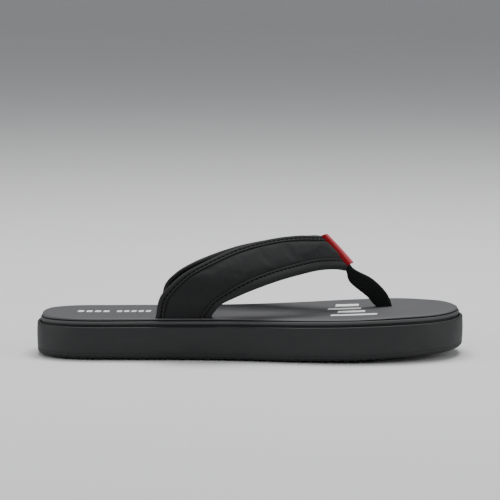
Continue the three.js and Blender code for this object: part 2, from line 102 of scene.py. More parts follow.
def circle(middle: Vector, radius: float, count: int) -> list[Vector]:
    """Points round a level circle."""
    turn = [2 * math.pi * k / count for k in range(count)]
    return [middle + Vector((radius * math.cos(a), radius * math.sin(a), 0)) for a in turn]


class SmoothCurve:
    """A centripetal curve through chosen points, open or closed."""

    def __init__(self, points: Sequence[Vector], closed: bool = False) -> None:
        """Keeps the points.

        Args:
            points: The points that the curve passes through.
            closed: Whether the curve joins up.
        """
        self.points = [Vector(p) for p in points]
        self.closed = closed
        self.spans = len(points) if closed else len(points) - 1

    def _point(self, index: int) -> Vector:
        """A control point, mirrored past the ends of an open curve.

        Args:
            index: The point's number, which may lie one past either end.

        Returns:
            The point in space.
        """
        last = len(self.points) - 1
        if self.closed:
            return self.points[index % len(self.points)]
        if index < 0:
            return self.points[0] * 2 - self.points[1]
        if index > last:
            return self.points[last] * 2 - self.points[last - 1]
        return self.points[index]

    def at(self, span: float) -> Vector:
        """The point a number of spans along the curve.

        Args:
            span: Whole numbers are the control points.

        Returns:
            The point in space.
        """
        span = min(max(span, 0.0), float(self.spans))
        start = min(int(span), self.spans - 1)
        p0, p1, p2, p3 = (self._point(start + i) for i in (-1, 0, 1, 2))
        d0, d1, d2 = (max((b - a).length, 1e-9) ** 0.5 for a, b in ((p0, p1), (p1, p2), (p2, p3)))
        leave = ((p1 - p0) / d0 - (p2 - p0) / (d0 + d1) + (p2 - p1) / d1) * d1
        arrive = ((p2 - p1) / d1 - (p3 - p1) / (d1 + d2) + (p3 - p2) / d2) * d1
        t = span - start
        a = 2 * t**3 - 3 * t**2 + 1
        b = t**3 - 2 * t**2 + t
        c = 3 * t**2 - 2 * t**3
        return p1 * a + leave * b + p2 * c + arrive * (t**3 - t**2)


# ---- Shader expressions --------------------------------------------------------------------------

Number = Union[float, "Value"]
Colour = Union[Sequence[float], bpy.types.NodeSocket]


class Value:
    """One number socket of a material, which takes part in sums as a number does."""

    def __init__(self, paint: "Paint", socket: bpy.types.NodeSocket) -> None:
        """Wraps an output socket of the material that paint builds."""
        self.paint = paint
        self.socket = socket

    def _math(self, operation: str, *terms: Number) -> "Value":
        """A Math node on the terms, in their order."""
        node = self.paint.add("ShaderNodeMath", dict(enumerate(terms)), operation=operation)
        return Value(self.paint, node.outputs[0])

    def __add__(self, other: Number) -> "Value":
        """self + other."""
        return self._math("ADD", self, other)

    def __radd__(self, other: Number) -> "Value":
        """other + self."""
        return self._math("ADD", other, self)

    def __sub__(self, other: Number) -> "Value":
        """self - other."""
        return self._math("SUBTRACT", self, other)

    def __rsub__(self, other: Number) -> "Value":
        """other - self."""
        return self._math("SUBTRACT", other, self)

    def __mul__(self, other: Number) -> "Value":
        """self * other."""
        return self._math("MULTIPLY", self, other)

    def __rmul__(self, other: Number) -> "Value":
        """other * self."""
        return self._math("MULTIPLY", other, self)

    def __pow__(self, other: Number) -> "Value":
        """self to the power of other."""
        return self._math("POWER", self, other)

    def sine(self) -> "Value":
        """The sine of this value in radians."""
        return self._math("SINE", self)

    def size(self) -> "Value":
        """This value without its sign."""
        return self._math("ABSOLUTE", self)

    def clipped(self) -> "Value":
        """This value held between 0 and 1."""
        return self._math("MINIMUM", self._math("MAXIMUM", self, 0.0), 1.0)


class Paint:
    """Builds the node tree of one material."""

    def __init__(self, name: str) -> None:
        """Starts a material with one Principled shader.

        Args:
            name: The material's name.
        """
        self.material = bpy.data.materials.new(name)
        self.material.use_nodes = True
        self.tree = self.material.node_tree
        self.tree.nodes.clear()
        self.shader = self.add("ShaderNodeBsdfPrincipled")
        self.add("ShaderNodeOutputMaterial", {"Surface": self.shader.outputs[0]})

    def add(self, kind: str, inputs: Optional[dict] = None, **settings: object) -> bpy.types.Node:
        """Adds a node, sets it up and feeds its sockets.

        Args:
            kind: The node's type.
            inputs: A number, colour, Value or output socket for each input name or index.
            settings: The node's own properties; stops are a colour ramp's positions and colours.

        Returns:
            The new node.
        """
        node = self.tree.nodes.new(kind)
        stops = settings.pop("stops", None)
        for key, value in settings.items():
            setattr(node, key, value)
        for index, (position, colour) in enumerate(stops or []):
            elements = node.color_ramp.elements
            element = elements[index] if index < 2 else elements.new(position)
            element.position, element.color = position, (*colour, 1.0)
        for key, value in (inputs or {}).items():
            self.feed(node, key, value)
        return node

    def feed(self, node: bpy.types.Node, key: Union[str, int], value: object) -> None:
        """Links a Value or socket to an input, or sets the input's own number or colour.

        Args:
            node: The node to feed.
            key: The input's name or index.
            value: A Value, an output socket, or the input's own number or colour.
        """
        if isinstance(value, Value):
            self.tree.links.new(value.socket, node.inputs[key])
        elif isinstance(value, bpy.types.NodeSocket):
            self.tree.links.new(value, node.inputs[key])
        else:
            node.inputs[key].default_value = value

    def set(self, **inputs: object) -> None:
        """Feeds the Principled shader, with spaces in its socket names written as underscores."""
        for key, value in inputs.items():
            self.feed(self.shader, key.replace("_", " "), value)

    def place(self, stretch: tuple[float, float, float] = (1, 1, 1)) -> bpy.types.NodeSocket:
        """Object coordinates, stretched along each axis."""
        coordinates = self.add("ShaderNodeTexCoord").outputs["Object"]
        return self.add("ShaderNodeMapping", {"Vector": coordinates, "Scale": stretch}).outputs[0]

    def cloth(self) -> tuple[Value, Value]:
        """Distance along and across a piece of cloth, in metres, from its UV map.

        Returns:
            The distance along it, then the distance across it.
        """
        coordinates = self.add("ShaderNodeTexCoord").outputs["UV"]
        parts = self.add("ShaderNodeSeparateXYZ", {0: coordinates})
        return Value(self, parts.outputs[0]), Value(self, parts.outputs[1])

    def noise(self, where: bpy.types.NodeSocket, size: float, detail: float = 2.0) -> Value:
        """Soft noise with features of a size in metres."""
        settings = {"Vector": where, "Scale": 1 / size, "Detail": detail}
        return Value(self, self.add("ShaderNodeTexNoise", settings).outputs[0])

    def cells(self, where: bpy.types.NodeSocket, size: float) -> Value:
        """Distance to the nearest of scattered points that lie a size in metres apart."""
        settings = {"Vector": where, "Scale": 1 / size}
        return Value(self, self.add("ShaderNodeTexVoronoi", settings).outputs[0])

    def blend(self, share: Number, first: Colour, second: Colour) -> bpy.types.NodeSocket:
        """A colour between two colours, each a triple or a colour socket."""
        first, second = (c if isinstance(c, bpy.types.NodeSocket) else (*c, 1.0) for c in (first, second))
        return self.add("ShaderNodeMix", {0: share, 6: first, 7: second}, data_type="RGBA").outputs[2]

    def bump(self, height: Value, depth: float) -> bpy.types.NodeSocket:
        """A surface normal for a height from 0 to 1 that is a depth in metres deep."""
        return self.add("ShaderNodeBump", {"Height": height, "Distance": depth}).outputs[0]


def shade(colour: Sequence[float], factor: float) -> tuple[float, float, float]:
    """A colour made lighter or darker by a factor."""
    red, green, blue = (min(1.0, c * factor) for c in colour)
    return red, green, blue


@dataclass(frozen=True)
class FoamFinish:
    """Moulded closed-cell foam or rubber with a fine cast grain and faint handling marks.

    Each pair of distances up the layer's profile marks painted shade: the foam is painted darkest at the
    first and in its own colour at the second, to darken the grooves where the layer meets its neighbours.
    """

    name: str
    colour: tuple[float, float, float]
    roughness: float
    grain: float = 0.9 * MM
    depth: float = 0.05 * MM
    specks: float = 0.0
    groove_shade: Sequence[tuple[float, float]] = ()

    def material(self) -> bpy.types.Material:
        """Builds the foam's material.

        Returns:
            The material.
        """
        paint = Paint(self.name)
        where = paint.place()
        patches = paint.noise(where, 38 * MM, 3)
        pores = paint.cells(where, self.grain)
        fine = paint.noise(where, self.grain * 0.45, 1)
        share = (patches * 1.2 - 0.1 + (pores - 0.4) * self.specks).clipped()
        colour = paint.blend(share, shade(self.colour, 0.9), shade(self.colour, 1.12))
        # painted shade in the layer's grooves, fading out along its profile
        for shaded_at, lit_at in self.groove_shade:
            reach = (paint.cloth()[0] - shaded_at) * (1 / (lit_at - shaded_at))
            unshaded = (reach + (patches - 0.5) * 0.2).clipped()
            colour = paint.blend(unshaded, shade(self.colour, 0.06), colour)
        paint.set(Base_Color=colour)
        scuffs = paint.noise(paint.place((0.35, 1, 1)), 6 * MM, 4)
        paint.set(Roughness=(self.roughness + (scuffs - 0.5) * 0.16).clipped())
        paint.set(Normal=paint.bump(pores * 0.6 + fine * 0.4, self.depth))
        return paint.material


@dataclass(frozen=True)
class SkinFinish:
    """Soft synthetic skin of the footbed: pebbled grain over a slightly uneven tone."""

    name: str
    colour: tuple[float, float, float]
    roughness: float
    pebble: float = 1.1 * MM

    def material(self) -> bpy.types.Material:
        """Builds the skin's material.

        Returns:
            The material.
        """
        paint = Paint(self.name)
        where = paint.place()
        pebbles = paint.cells(where, self.pebble)
        fine = paint.noise(where, self.pebble * 0.3, 2)
        tone = paint.noise(where, 45 * MM, 2)
        share = (tone * 0.9 + fine * 0.2 + (pebbles - 0.35) * 0.25).clipped()
        paint.set(Base_Color=paint.blend(share, shade(self.colour, 0.88), shade(self.colour, 1.1)))
        paint.set(Roughness=(self.roughness + (fine - 0.5) * 0.14 - (tone - 0.5) * 0.1).clipped())
        paint.set(Normal=paint.bump(pebbles * 0.75 + fine * 0.25, 0.07 * MM))
        return paint.material


class Weave(Enum):
    """How a cloth's threads cross: their pitch along and across the piece, in metres."""

    PLAIN = (0.55 * MM, 0.55 * MM)
    RIB = (0.9 * MM, 1.7 * MM)
    SATIN = (1.4 * MM, 0.35 * MM)
    KNIT = (0.8 * MM, 1.0 * MM)


@dataclass(frozen=True)
class ClothFinish:
    """Woven or knitted cloth whose threads follow the piece.

    A crest is a place along the piece where the cloth folds over; the paler colour painted there is a
    painted highlight of the top light on the fold, and crest_reach is how far the painted highlight
    reaches to either side of it.
    """

    name: str
    colour: tuple[float, float, float]
    weave: Weave
    roughness: float = 0.85
    depth: float = 0.12 * MM
    fuzz: float = 0.06
    sheen_tint: float = 0.5
    gloss: float = 0.3
    crest: Optional[float] = None
    crest_reach: float = 1.5 * MM
    crest_highlight_colour: tuple[float, float, float] = (0.5, 0.09, 0.11)

    def material(self) -> bpy.types.Material:
        """Builds the cloth's material.

        Returns:
            The material.
        """
        paint = Paint(self.name)
        along, across = paint.cloth()
        pitch_along, pitch_across = self.weave.value
        warp = (along * (math.pi / pitch_along)).sine()
        weft = (across * (math.pi / pitch_across)).sine()
        crossing = warp * weft * 0.5 + 0.5
        where = paint.place()
        slub = paint.noise(where, 1.6 * MM, 3)
        fade = paint.noise(where, 26 * MM, 2)
        share = (crossing * 0.5 + slub * 0.35 + fade * 0.3 - 0.1).clipped()
        colour = paint.blend(share, shade(self.colour, 0.78), shade(self.colour, 1.22))
        if self.crest is not None:
            # painted highlight: the fold's crest is painted paler where the top light catches it
            off = (along - self.crest).size() * (1 / self.crest_reach)
            colour = paint.blend((1.6 - off + (slub - 0.5) * 0.5).clipped(), colour, self.crest_highlight_colour)
        paint.set(Base_Color=colour)
        paint.set(Roughness=(self.roughness + (slub - 0.5) * 0.2).clipped())
        paint.set(Normal=paint.bump(crossing * 0.8 + slub * 0.2, self.depth))
        tint = shade((1, 1, 1), self.sheen_tint)
        paint.set(Sheen_Weight=self.fuzz, Sheen_Roughness=0.5, Sheen_Tint=(*tint, 1.0))
        paint.set(Specular_IOR_Level=self.gloss)
        return paint.material


@dataclass(frozen=True)
class ThreadFinish:
    """Twisted sewing thread."""

    name: str
    colour: tuple[float, float, float]
    twist: float = 0.7 * MM

    def material(self) -> bpy.types.Material:
        """Builds the thread's material.

        Returns:
            The material.
        """
        paint = Paint(self.name)
        along, across = paint.cloth()
        strand = ((along + across * 0.6) * (2 * math.pi / self.twist)).sine() * 0.5 + 0.5
        paint.set(Base_Color=paint.blend(strand, shade(self.colour, 0.6), shade(self.colour, 1.3)))
        paint.set(Roughness=0.85, Specular_IOR_Level=0.06, Normal=paint.bump(strand, 0.08 * MM))
        return paint.material


@dataclass(frozen=True)
class InkFinish:
    """Screen-printed ink that has worn thin over the grain beneath it."""

    name: str
    colour: tuple[float, float, float]

    def material(self) -> bpy.types.Material:
        """Builds the ink's material.

        Returns:
            The material.
        """
        paint = Paint(self.name)
        where = paint.place()
        pebbles = paint.cells(where, 1.1 * MM)
        wear = paint.noise(where, 2.4 * MM, 4)
        thin = ((wear - 0.58) * 4.0).clipped()
        paint.set(Base_Color=paint.blend(thin * 0.35, self.colour, shade(self.colour, 0.62)))
        paint.set(Roughness=(0.42 + wear * 0.2).clipped(), Normal=paint.bump(pebbles, 0.05 * MM))
        return paint.material


# ---- Mesh building -------------------------------------------------------------------------------


class Form:
    """A mesh in the making, swept from ring to ring by extruding edges."""

    def __init__(self) -> None:
        """Starts an empty mesh with a cloth map of distances along and across it."""
        self.bm = bmesh.new()
        self.along = self.bm.verts.layers.float.new("along")
        self.across = self.bm.verts.layers.float.new("across")
        self.share = self.bm.verts.layers.float.new("share")

    def start(self, points: Sequence[Vector], closed: bool = True) -> list[bmesh.types.BMVert]:
        """Makes the first ring or line of vertices.

        Args:
            points: Where the vertices go, in order.
            closed: Whether the last vertex joins the first.

        Returns:
            The vertices, in the same order.
        """
        ring = [self.bm.verts.new(p) for p in points]
        pairs = list(zip(ring, ring[1:] + ring[:1])) if closed else list(zip(ring, ring[1:]))
        for a, b in pairs:
            self.bm.edges.new((a, b))
        self._measure(ring, 0.0)
        return ring

    def _measure(self, ring: Sequence[bmesh.types.BMVert], along: float) -> None:
        """Writes each vertex's distance along the sweep and around its ring.

        Args:
            ring: The ring's vertices, in order.
            along: The ring's distance along the sweep.
        """
        distance = 0.0
        for index, vert in enumerate(ring):
            if index:
                distance += (vert.co - ring[index - 1].co).length
            vert[self.along], vert[self.across] = along, distance
            vert[self.share] = index / len(ring)

    def extend(
        self, ring: Sequence[bmesh.types.BMVert], points: Sequence[Vector], closed: bool = True
    ) -> list[bmesh.types.BMVert]:
        """Extrudes a ring or line and moves the new one to its place.

        Args:
            ring: The vertices to extrude, in order.
            points: Where each new vertex goes.
            closed: Whether the last vertex joins the first.

        Returns:
            The new vertices, in the same order.
        """
        after = list(ring[1:]) + ([ring[0]] if closed else [])
        edges = [self.bm.edges.get((a, b)) for a, b in zip(ring, after)]
        made = bmesh.ops.extrude_edge_only(self.bm, edges=edges)["geom"]
        fresh = {item for item in made if isinstance(item, bmesh.types.BMVert)}
        following = [
            next(e.other_vert(v) for e in v.link_edges if e.other_vert(v) in fresh) for v in ring
        ]
        step = sum((p - v.co).length for v, p in zip(ring, points)) / len(points)
        for vert, point in zip(following, points):
            vert.co = point
        self._measure(following, ring[0][self.along] + step)
        return following

    def sweep(self, rings: Sequence[Sequence[Vector]]) -> None:
        """Sweeps a closed section through matching rings and closes both ends.

        Args:
            rings: Rings with equally many points, in the sweep's order.
        """
        first = ring = self.start(rings[0])
        for points in rings[1:]:
            ring = self.extend(ring, points)
        for end in (first, ring):
            edges = [self.bm.edges.get(pair) for pair in zip(end, end[1:] + end[:1])]
            bmesh.ops.contextual_create(self.bm, geom=edges)

    def stitch(self, centre: Vector, along: Vector, out: Vector, length: float, thick: float) -> None:
        """Adds one stitch: a capsule that lies along the seam and is half sunk in the cloth.

        Args:
            centre: The middle of the stitch on the cloth.
            along: The seam's direction.
            out: The cloth's outward direction.
            length: The stitch's length.
            thick: The thread's thickness.
        """
        side = along.cross(out).normalized()
        made = bmesh.ops.create_uvsphere(self.bm, u_segments=8, v_segments=7, radius=0.5)["verts"]
        for vert in made:
            x, y, z = vert.co
            reach = math.copysign(abs(2 * z) ** 0.6 / 2, z) * length
            arch = 0.2 * thick * math.cos(math.pi * reach / length)
            spot = centre + along * reach + side * (x * thick) + out * (y * thick * 0.8 + arch)
            vert.co = spot
            vert[self.along], vert[self.across] = reach + length / 2, x * thick

    def finish(self, name: str, weld: float = 1e-6) -> bpy.types.Object:
        """Welds the mesh, turns its faces outwards, writes its UV map and links its object.

        Args:
            name: The piece's name.
            weld: Vertices nearer than this are merged.

        Returns:
            The piece, standing at the origin.
        """
        bmesh.ops.remove_doubles(self.bm, verts=self.bm.verts[:], dist=weld)
        bmesh.ops.dissolve_degenerate(self.bm, dist=weld, edges=self.bm.edges[:])
        bmesh.ops.recalc_face_normals(self.bm, faces=self.bm.faces[:])
        uv = self.bm.loops.layers.uv.new("cloth")
        for face in self.bm.faces:
            face.smooth = True
            furthest = max(loop.vert[self.across] for loop in face.loops)
            for loop in face.loops:
                across = loop.vert[self.across]
                if furthest - across > CLOTH_WRAP:
                    across = furthest
                loop[uv].uv = (loop.vert[self.along], across)
        mesh = bpy.data.meshes.new(name)
        self.bm.to_mesh(mesh)
        self.bm.free()
        mesh.set_sharp_from_angle(angle=CREASE)
        piece = bpy.data.objects.new(name, mesh)
        bpy.context.scene.collection.objects.link(piece)
        return piece


def show(piece: bpy.types.Object, finish: bpy.types.Material, slot: str, *nodes: str) -> bpy.types.Object:
    """Dresses a piece, lets it ride on the sandal and hides the nodes that it stands for.

    Args:
        piece: The finished mesh object.
        finish: Its material.
        slot: The record's material slot; not used.
        nodes: The frame's nodes that the piece stands for.

    Returns:
        The same piece.
    """
    piece.data.materials.clear()
    piece.data.materials.append(finish)
    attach(piece, BODY)
    if nodes:
        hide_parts(*nodes)
    log.info("%s: %d faces", piece.name, len(piece.data.polygons))
    return piece


def cut_with(piece: bpy.types.Object, cutters: Sequence[bpy.types.Object]) -> None:
    """Cuts each cutter out of a piece and removes the cutters.

    Args:
        piece: The object to cut.
        cutters: Closed objects that overlap it.
    """
    for index, cutter in enumerate(cutters):
        modifier = piece.modifiers.new(f"cut_{index}", "BOOLEAN")
        modifier.operation, modifier.solver, modifier.object = "DIFFERENCE", "EXACT", cutter
    graph = bpy.context.evaluated_depsgraph_get()
    graph.update()
    old = piece.data
    cut = bpy.data.meshes.new_from_object(piece.evaluated_get(graph))
    piece.modifiers.clear()
    piece.data = cut
    bpy.data.meshes.remove(old)
    cut.name = piece.name
    cut.set_sharp_from_angle(angle=CREASE)
    for cutter in cutters:
        bpy.data.objects.remove(cutter)


# ---- Sole ----------------------------------------------------------------------------------------


@dataclass
class SoleShape:
    """The outline and the heights that every layer of the sole follows."""

    length: float
    width: float
    lip_heel: float = 21.6 * MM
    lip_toe: float = 24.7 * MM
    rise_heel: float = 5.8 * MM
    rise_toe: float = 4.6 * MM
    dish: float = 1.3 * MM
    spring: float = 4.4 * MM
    spring_start: float = 15 * MM
    band_height: float = 3.65 * MM
    bed_dip: float = 2.2 * MM
    curl_toe: float = 1.0 * MM
    curl_tip: float = 0.35 * MM
    curl_heel: float = 0.4 * MM
    rise_tip: float = 0.8 * MM
    steps: int = 120  # along each side
    outer_side: Sequence[tuple[float, float]] = (
        (-50, 1), (-48.2, -20.5), (-42, -32.2), (-29.5, -35), (-15.8, -35.7), (-1.8, -39.5),
        (12.3, -46.7), (24.6, -50), (37.2, -43.6), (45.3, -31.5), (49.1, -14.5),
    )
    inner_side: Sequence[tuple[float, float]] = (
        (50, 6), (46.7, 31), (37.9, 46.2), (24.6, 50), (12.3, 43.8), (-1.8, 36.2),
        (-15.8, 34.3), (-29.5, 35.5), (-42, 33.2), (-48.2, 22.5),
    )

    def __post_init__(self) -> None:
        """Draws the outline round the middle of its own box and indexes it for distances."""
        corners = [
            Vector((x * self.length / 100, y * self.width / 100, 0))
            for x, y in (*self.outer_side, *self.inner_side)
        ]
        curve = SmoothCurve(corners, closed=True)
        count = 2 * self.steps
        points = [curve.at(i * curve.spans / count) for i in range(count)]
        low, high = (Vector((f(p.x for p in points), f(p.y for p in points), 0)) for f in (min, max))
        self.outline = [p - (low + high) / 2 for p in points]
        self.nearest = KDTree(count)
        for index, point in enumerate(self.outline):
            self.nearest.insert(point, index)
        self.nearest.balance()

    def inset(self, distance: float) -> list[Vector]:
        """The outline moved inwards by a distance.

        Args:
            distance: How far it moves.

        Returns:
            One point for each point of the outline, at height 0.
        """
        count = len(self.outline)
        moved = []
        for i, p in enumerate(self.outline):
            along = (self.outline[(i + 1) % count] - self.outline[i - 1]).normalized()
            moved.append(Vector((p.x - along.y * distance, p.y + along.x * distance, 0)))
        return moved

    def depth_inside(self, x: float, y: float) -> float:
        """Distance from a point on the sole to the outline."""
        return self.nearest.find(Vector((x, y, 0)))[2]

    def reach_across(self, x: float, inset: float) -> tuple[float, float]:
        """The inset outline's lowest and highest Y at a place along the sole.

        Args:
            x: The place along the sole.
            inset: How far the outline is moved inwards.

        Returns:
            The lowest Y and the highest.
        """
        ring = self.inset(inset)
        found = []
        for a, b in zip(ring, ring[1:] + ring[:1]):
            if (a.x - x) * (b.x - x) <= 0 and a.x != b.x:
                found.append(mix(a.y, b.y, (x - a.x) / (b.x - a.x)))
        return min(found), max(found)

    def ground(self, x: float, _y: float = 0.0) -> float:
        """Height of the sole's underside, which lifts at the toe."""
        share = max(0.0, x - self.spring_start) / (self.length / 2 - self.spring_start)
        return self.spring * share**1.6

    def datum(self, x: float) -> float:
        """Height that the strap and the post are measured from: the footbed's edge on a straight rim."""
        share = x / self.length + 0.5
        return mix(self.lip_heel, self.lip_toe, share) + mix(self.rise_heel, self.rise_toe, share)

    def lip(self, x: float, _y: float = 0.0) -> float:
        """Height of the midsole's rim, which curls up a little at both ends.

        Args:
            x: Place along the sole.
            _y: Place across it, which changes nothing.

        Returns:
            The rim's height.
        """
        curl = self.curl_toe * smooth(20 * MM, 110 * MM, x)
        curl += self.curl_tip * smooth(115 * MM, 140 * MM, x)
        curl += self.curl_heel * smooth(90 * MM, 135 * MM, -x)
        return mix(self.lip_heel, self.lip_toe, x / self.length + 0.5) + curl

    def rise(self, x: float) -> float:
        """Height of the footbed's edge above the midsole's rim."""
        tip = self.rise_tip * smooth(60 * MM, 115 * MM, x)
        return mix(self.rise_heel, self.rise_toe, x / self.length + 0.5) + tip

    def band(self, x: float, _y: float = 0.0) -> float:
        """Height of the lower footbed layer's top."""
        return self.lip(x) + self.band_height

    def bed(self, x: float, y: float) -> float:
        """Height of the lower layer's top, which dips inside its rim to carry the dished skin."""
        return self.band(x) - self.bed_dip * smooth(5 * MM, 16 * MM, self.depth_inside(x, y))

    def edge(self, x: float, _y: float = 0.0) -> float:
        """Height of the footbed's edge."""
        return self.lip(x) + self.rise(x)

    def footbed(self, x: float, y: float) -> float:
        """Height of the dished footbed."""
        return self.edge(x) - self.dish * smooth(8 * MM, 30 * MM, self.depth_inside(x, y))


def above(surface: Height, offset: float) -> Height:
    """A surface raised by an offset."""
    return lambda x, y: surface(x, y) + offset


def rounded(inset: float, surface: Height, radius: float, drop: float, steps: int = 5) -> list:
    """Levels of a rounded upper edge, from the wall up to the flat.

    Args:
        inset: How far the wall lies inside the outline.
        surface: The flat's height.
        radius: How far the rounding reaches inwards.
        drop: How far it reaches down the wall.
        steps: Levels in the quarter turn.

    Returns:
        Pairs of inset and height function.
    """
    turns = [i * math.pi / 2 / steps for i in range(steps + 1)]
    return [
        (inset + radius * (1 - math.cos(t)), above(surface, -drop * (1 - math.sin(t))))
        for t in turns
    ]


@dataclass(frozen=True)
class SoleSizes:
    """Thicknesses and patterns of the sole's layers, with heights above the sole's underside."""

    cap_columns: int = 44  # columns of faces across each layer
    rim: float = 2.4 * MM
    rim_round: float = 1.0 * MM  # how far the rim's rounding reaches down the wall
    plate_floor: float = 1.7 * MM
    plate_low: float = 1.35 * MM
    plate_top: float = 4.66 * MM
    plate_bulge: float = 2.2 * MM
    wall_foot: float = 4.76 * MM
    lugs: int = 42
    lug_start: float = -124 * MM
    lug_pitch: float = 6 * MM
    lug_width: float = 3 * MM
    lug_taper: float = 0.4 * MM
    lug_height: float = 2.3 * MM
    lug_bevel: float = 0.3 * MM
    lug_inset: float = 4.6 * MM
    lug_inset_toe: float = 7 * MM  # what the inset grows by under the toes
    wall_gap: float = 0.1 * MM  # between the rim and the footbed's wall
    pinch: float = 0.65 * MM  # how far the footbed draws in just above the rim
    cover_inset: float = 1.2 * MM


class Sole:
    """The glued stack under the foot: outsole, midsole, lower footbed layer and footbed cover."""

    def __init__(self, shape: SoleShape, sizes: SoleSizes) -> None:
        """Keeps the shape that the layers share and makes their finishes.

        Args:
            shape: Outline and heights.
            sizes: Thicknesses and patterns of the layers.
        """
        self.shape, self.sizes = shape, sizes
        dark = (0.0072, 0.0077, 0.0083)
        self.foam = FoamFinish("midsole_foam", dark, 0.62).material()
        self.rubber = FoamFinish("outsole_rubber", dark, 0.66, 1.3 * MM, 0.08 * MM).material()
        # painted shade: the groove just above the midsole's rim and the groove under the skin's edge are
        # painted darker
        groove_shade = ((4.9 * MM, 6.2 * MM), (8.2 * MM, 7.4 * MM))
        self.layer_foam = FoamFinish(
            "footbed_foam", (0.046, 0.047, 0.049), 0.62, 0.7 * MM, groove_shade=groove_shade
        ).material()
        self.skin = SkinFinish("footbed_skin", (0.07, 0.07, 0.073), 0.62).material()

    def _cap(self, form: Form, ring: Sequence[bmesh.types.BMVert], height: Height) -> None:
        """Closes a layer by extruding its outer side across to its inner side.

        Args:
            form: The layer's mesh.
            ring: The layer's first or last ring, heel first.
            height: The cap's height.
        """
        half = len(ring) // 2
        near = list(ring[: half + 1])
        far = [ring[-i % len(ring)] for i in range(half + 1)]
        starts = [v.co.copy() for v in near]
        ends = [v.co.copy() for v in far]
        line = near
        columns = self.sizes.cap_columns
        for column in range(1, columns + 1):
            share = column / columns
            points = [a.lerp(b, share) for a, b in zip(starts, ends)]
            if column < columns:
                for p, a in zip(points[1:-1], starts[1:-1]):
                    p.z = height(p.x, p.y)
            line = form.extend(line, points, closed=False)

    def layer(self, name: str, levels: Sequence[tuple[float, Height]]) -> bpy.types.Object:
        """Builds one layer from its lower cap to its upper cap.

        Args:
            name: The piece's name.
            levels: Pairs of inset and height function, from below.

        Returns:
            The finished layer.
        """
        return self._swept(levels).finish(name)

    def _swept(self, levels: Sequence[tuple[float, Height]]) -> Form:
        """Sweeps a layer through its levels and closes both caps.

        Args:
            levels: Pairs of inset and height function, from below.

        Returns:
            The layer's mesh, still open to edits.
        """
        form = Form()
        rings = []
        for inset, height in levels:
            points = [Vector((p.x, p.y, height(p.x, p.y))) for p in self.shape.inset(inset)]
            rings.append(form.extend(rings[-1], points) if rings else form.start(points))
        self._cap(form, rings[0], levels[0][1])
        self._cap(form, rings[-1], levels[-1][1])
        return form

    def midsole(self, cutters: Sequence[bpy.types.Object]) -> bpy.types.Object:
        """The moulded foam wall with its rim round the footbed.

        Args:
            cutters: What is cut out of it for the strap and the post.

        Returns:
            The dressed piece.
        """
        s, rim = self.shape, self.sizes.rim
        wall = [(0.3 * MM * (2 * t - 1.1) ** 2, t) for t in spaced(0.02, 1, 8)]
        levels = [(1.6 * MM, above(s.ground, 4.68 * MM)), (0.45 * MM, above(s.ground, 4.69 * MM))]
        for inset, share in wall[:-1]:
            levels.append((inset, self._between(share)))
        levels += rounded(wall[-1][0], s.lip, 0.75 * MM, self.sizes.rim_round)
        levels += [(rim - 0.45 * MM, s.lip), (rim - 0.1 * MM, above(s.lip, -0.15 * MM))]
        levels += [(rim, above(s.lip, -0.5 * MM)), (rim, above(s.lip, -4 * MM))]
        piece = self.layer("midsole_shell", levels)
        cut_with(piece, cutters)
        return show(piece, self.foam, "midsole_foam", "midsole")

    def _between(self, share: float) -> Height:
        """A height between the outsole's top edge and the foot of the rim's rounding."""
        s, sizes = self.shape, self.sizes
        return lambda x, y: mix(s.ground(x) + sizes.wall_foot, s.lip(x) - sizes.rim_round, share)

    def outsole(self) -> bpy.types.Object:
        """The rubber plate and its straight cross lugs, one mesh.

        Returns:
            The dressed piece.
        """
        s, sizes = self.shape, self.sizes
        lower, upper, floor = sizes.plate_low, sizes.plate_top, above(s.ground, sizes.plate_floor)
        levels = [(7 * MM, floor), (3.8 * MM, floor)]
        for t in spaced(0, math.pi / 2, 9):
            inset = 0.3 * MM + sizes.plate_bulge * (1 - math.sin(t))
            height = lower + (upper - lower - 0.3 * MM) * (1 - math.cos(t))
            levels.append((inset, above(s.ground, height)))
        levels += [(0.4 * MM, above(s.ground, upper - 0.05 * MM)), (0.8 * MM, above(s.ground, upper))]
        form = self._swept(levels)
        for number in range(sizes.lugs):
            self._lug(form, sizes.lug_start + number * sizes.lug_pitch)
        return show(form.finish("outsole_with_lugs", 1e-7), self.rubber, "outsole_rubber", "outsole")

    def _lug(self, form: Form, start: float) -> None:
        """Adds one straight bevelled lug across the sole.

        Args:
            form: The outsole's mesh.
            start: Where the lug's heel side lies along the sole.
        """
        s, sizes = self.shape, self.sizes
        width, taper, height = sizes.lug_width, sizes.lug_taper, sizes.lug_height
        inset = sizes.lug_inset + sizes.lug_inset_toe * smooth(85 * MM, 105 * MM, start)
        low, high = s.reach_across(start + width / 2, inset)
        parts = max(2, round((high - low) / (12 * MM)))
        rings = []
        for y in spaced(low, high, parts + 1):
            ring = []
            for dx, dz in ((taper, 0), (width - taper, 0), (width, height), (0, height)):
                x = start + dx
                ring.append(Vector((x, y, s.ground(x) + dz)))
            rings.append(ring)
        before = set(form.bm.verts)
        form.sweep(rings)
        made = [v for v in form.bm.verts if v not in before]
        edges = [e for e in {e for v in made for e in v.link_edges} if e.calc_face_angle(0) > 0.6]
        bmesh.ops.bevel(
            form.bm, geom=edges, offset=sizes.lug_bevel, segments=2, profile=0.5, affect="EDGES",
            material=-1,
        )

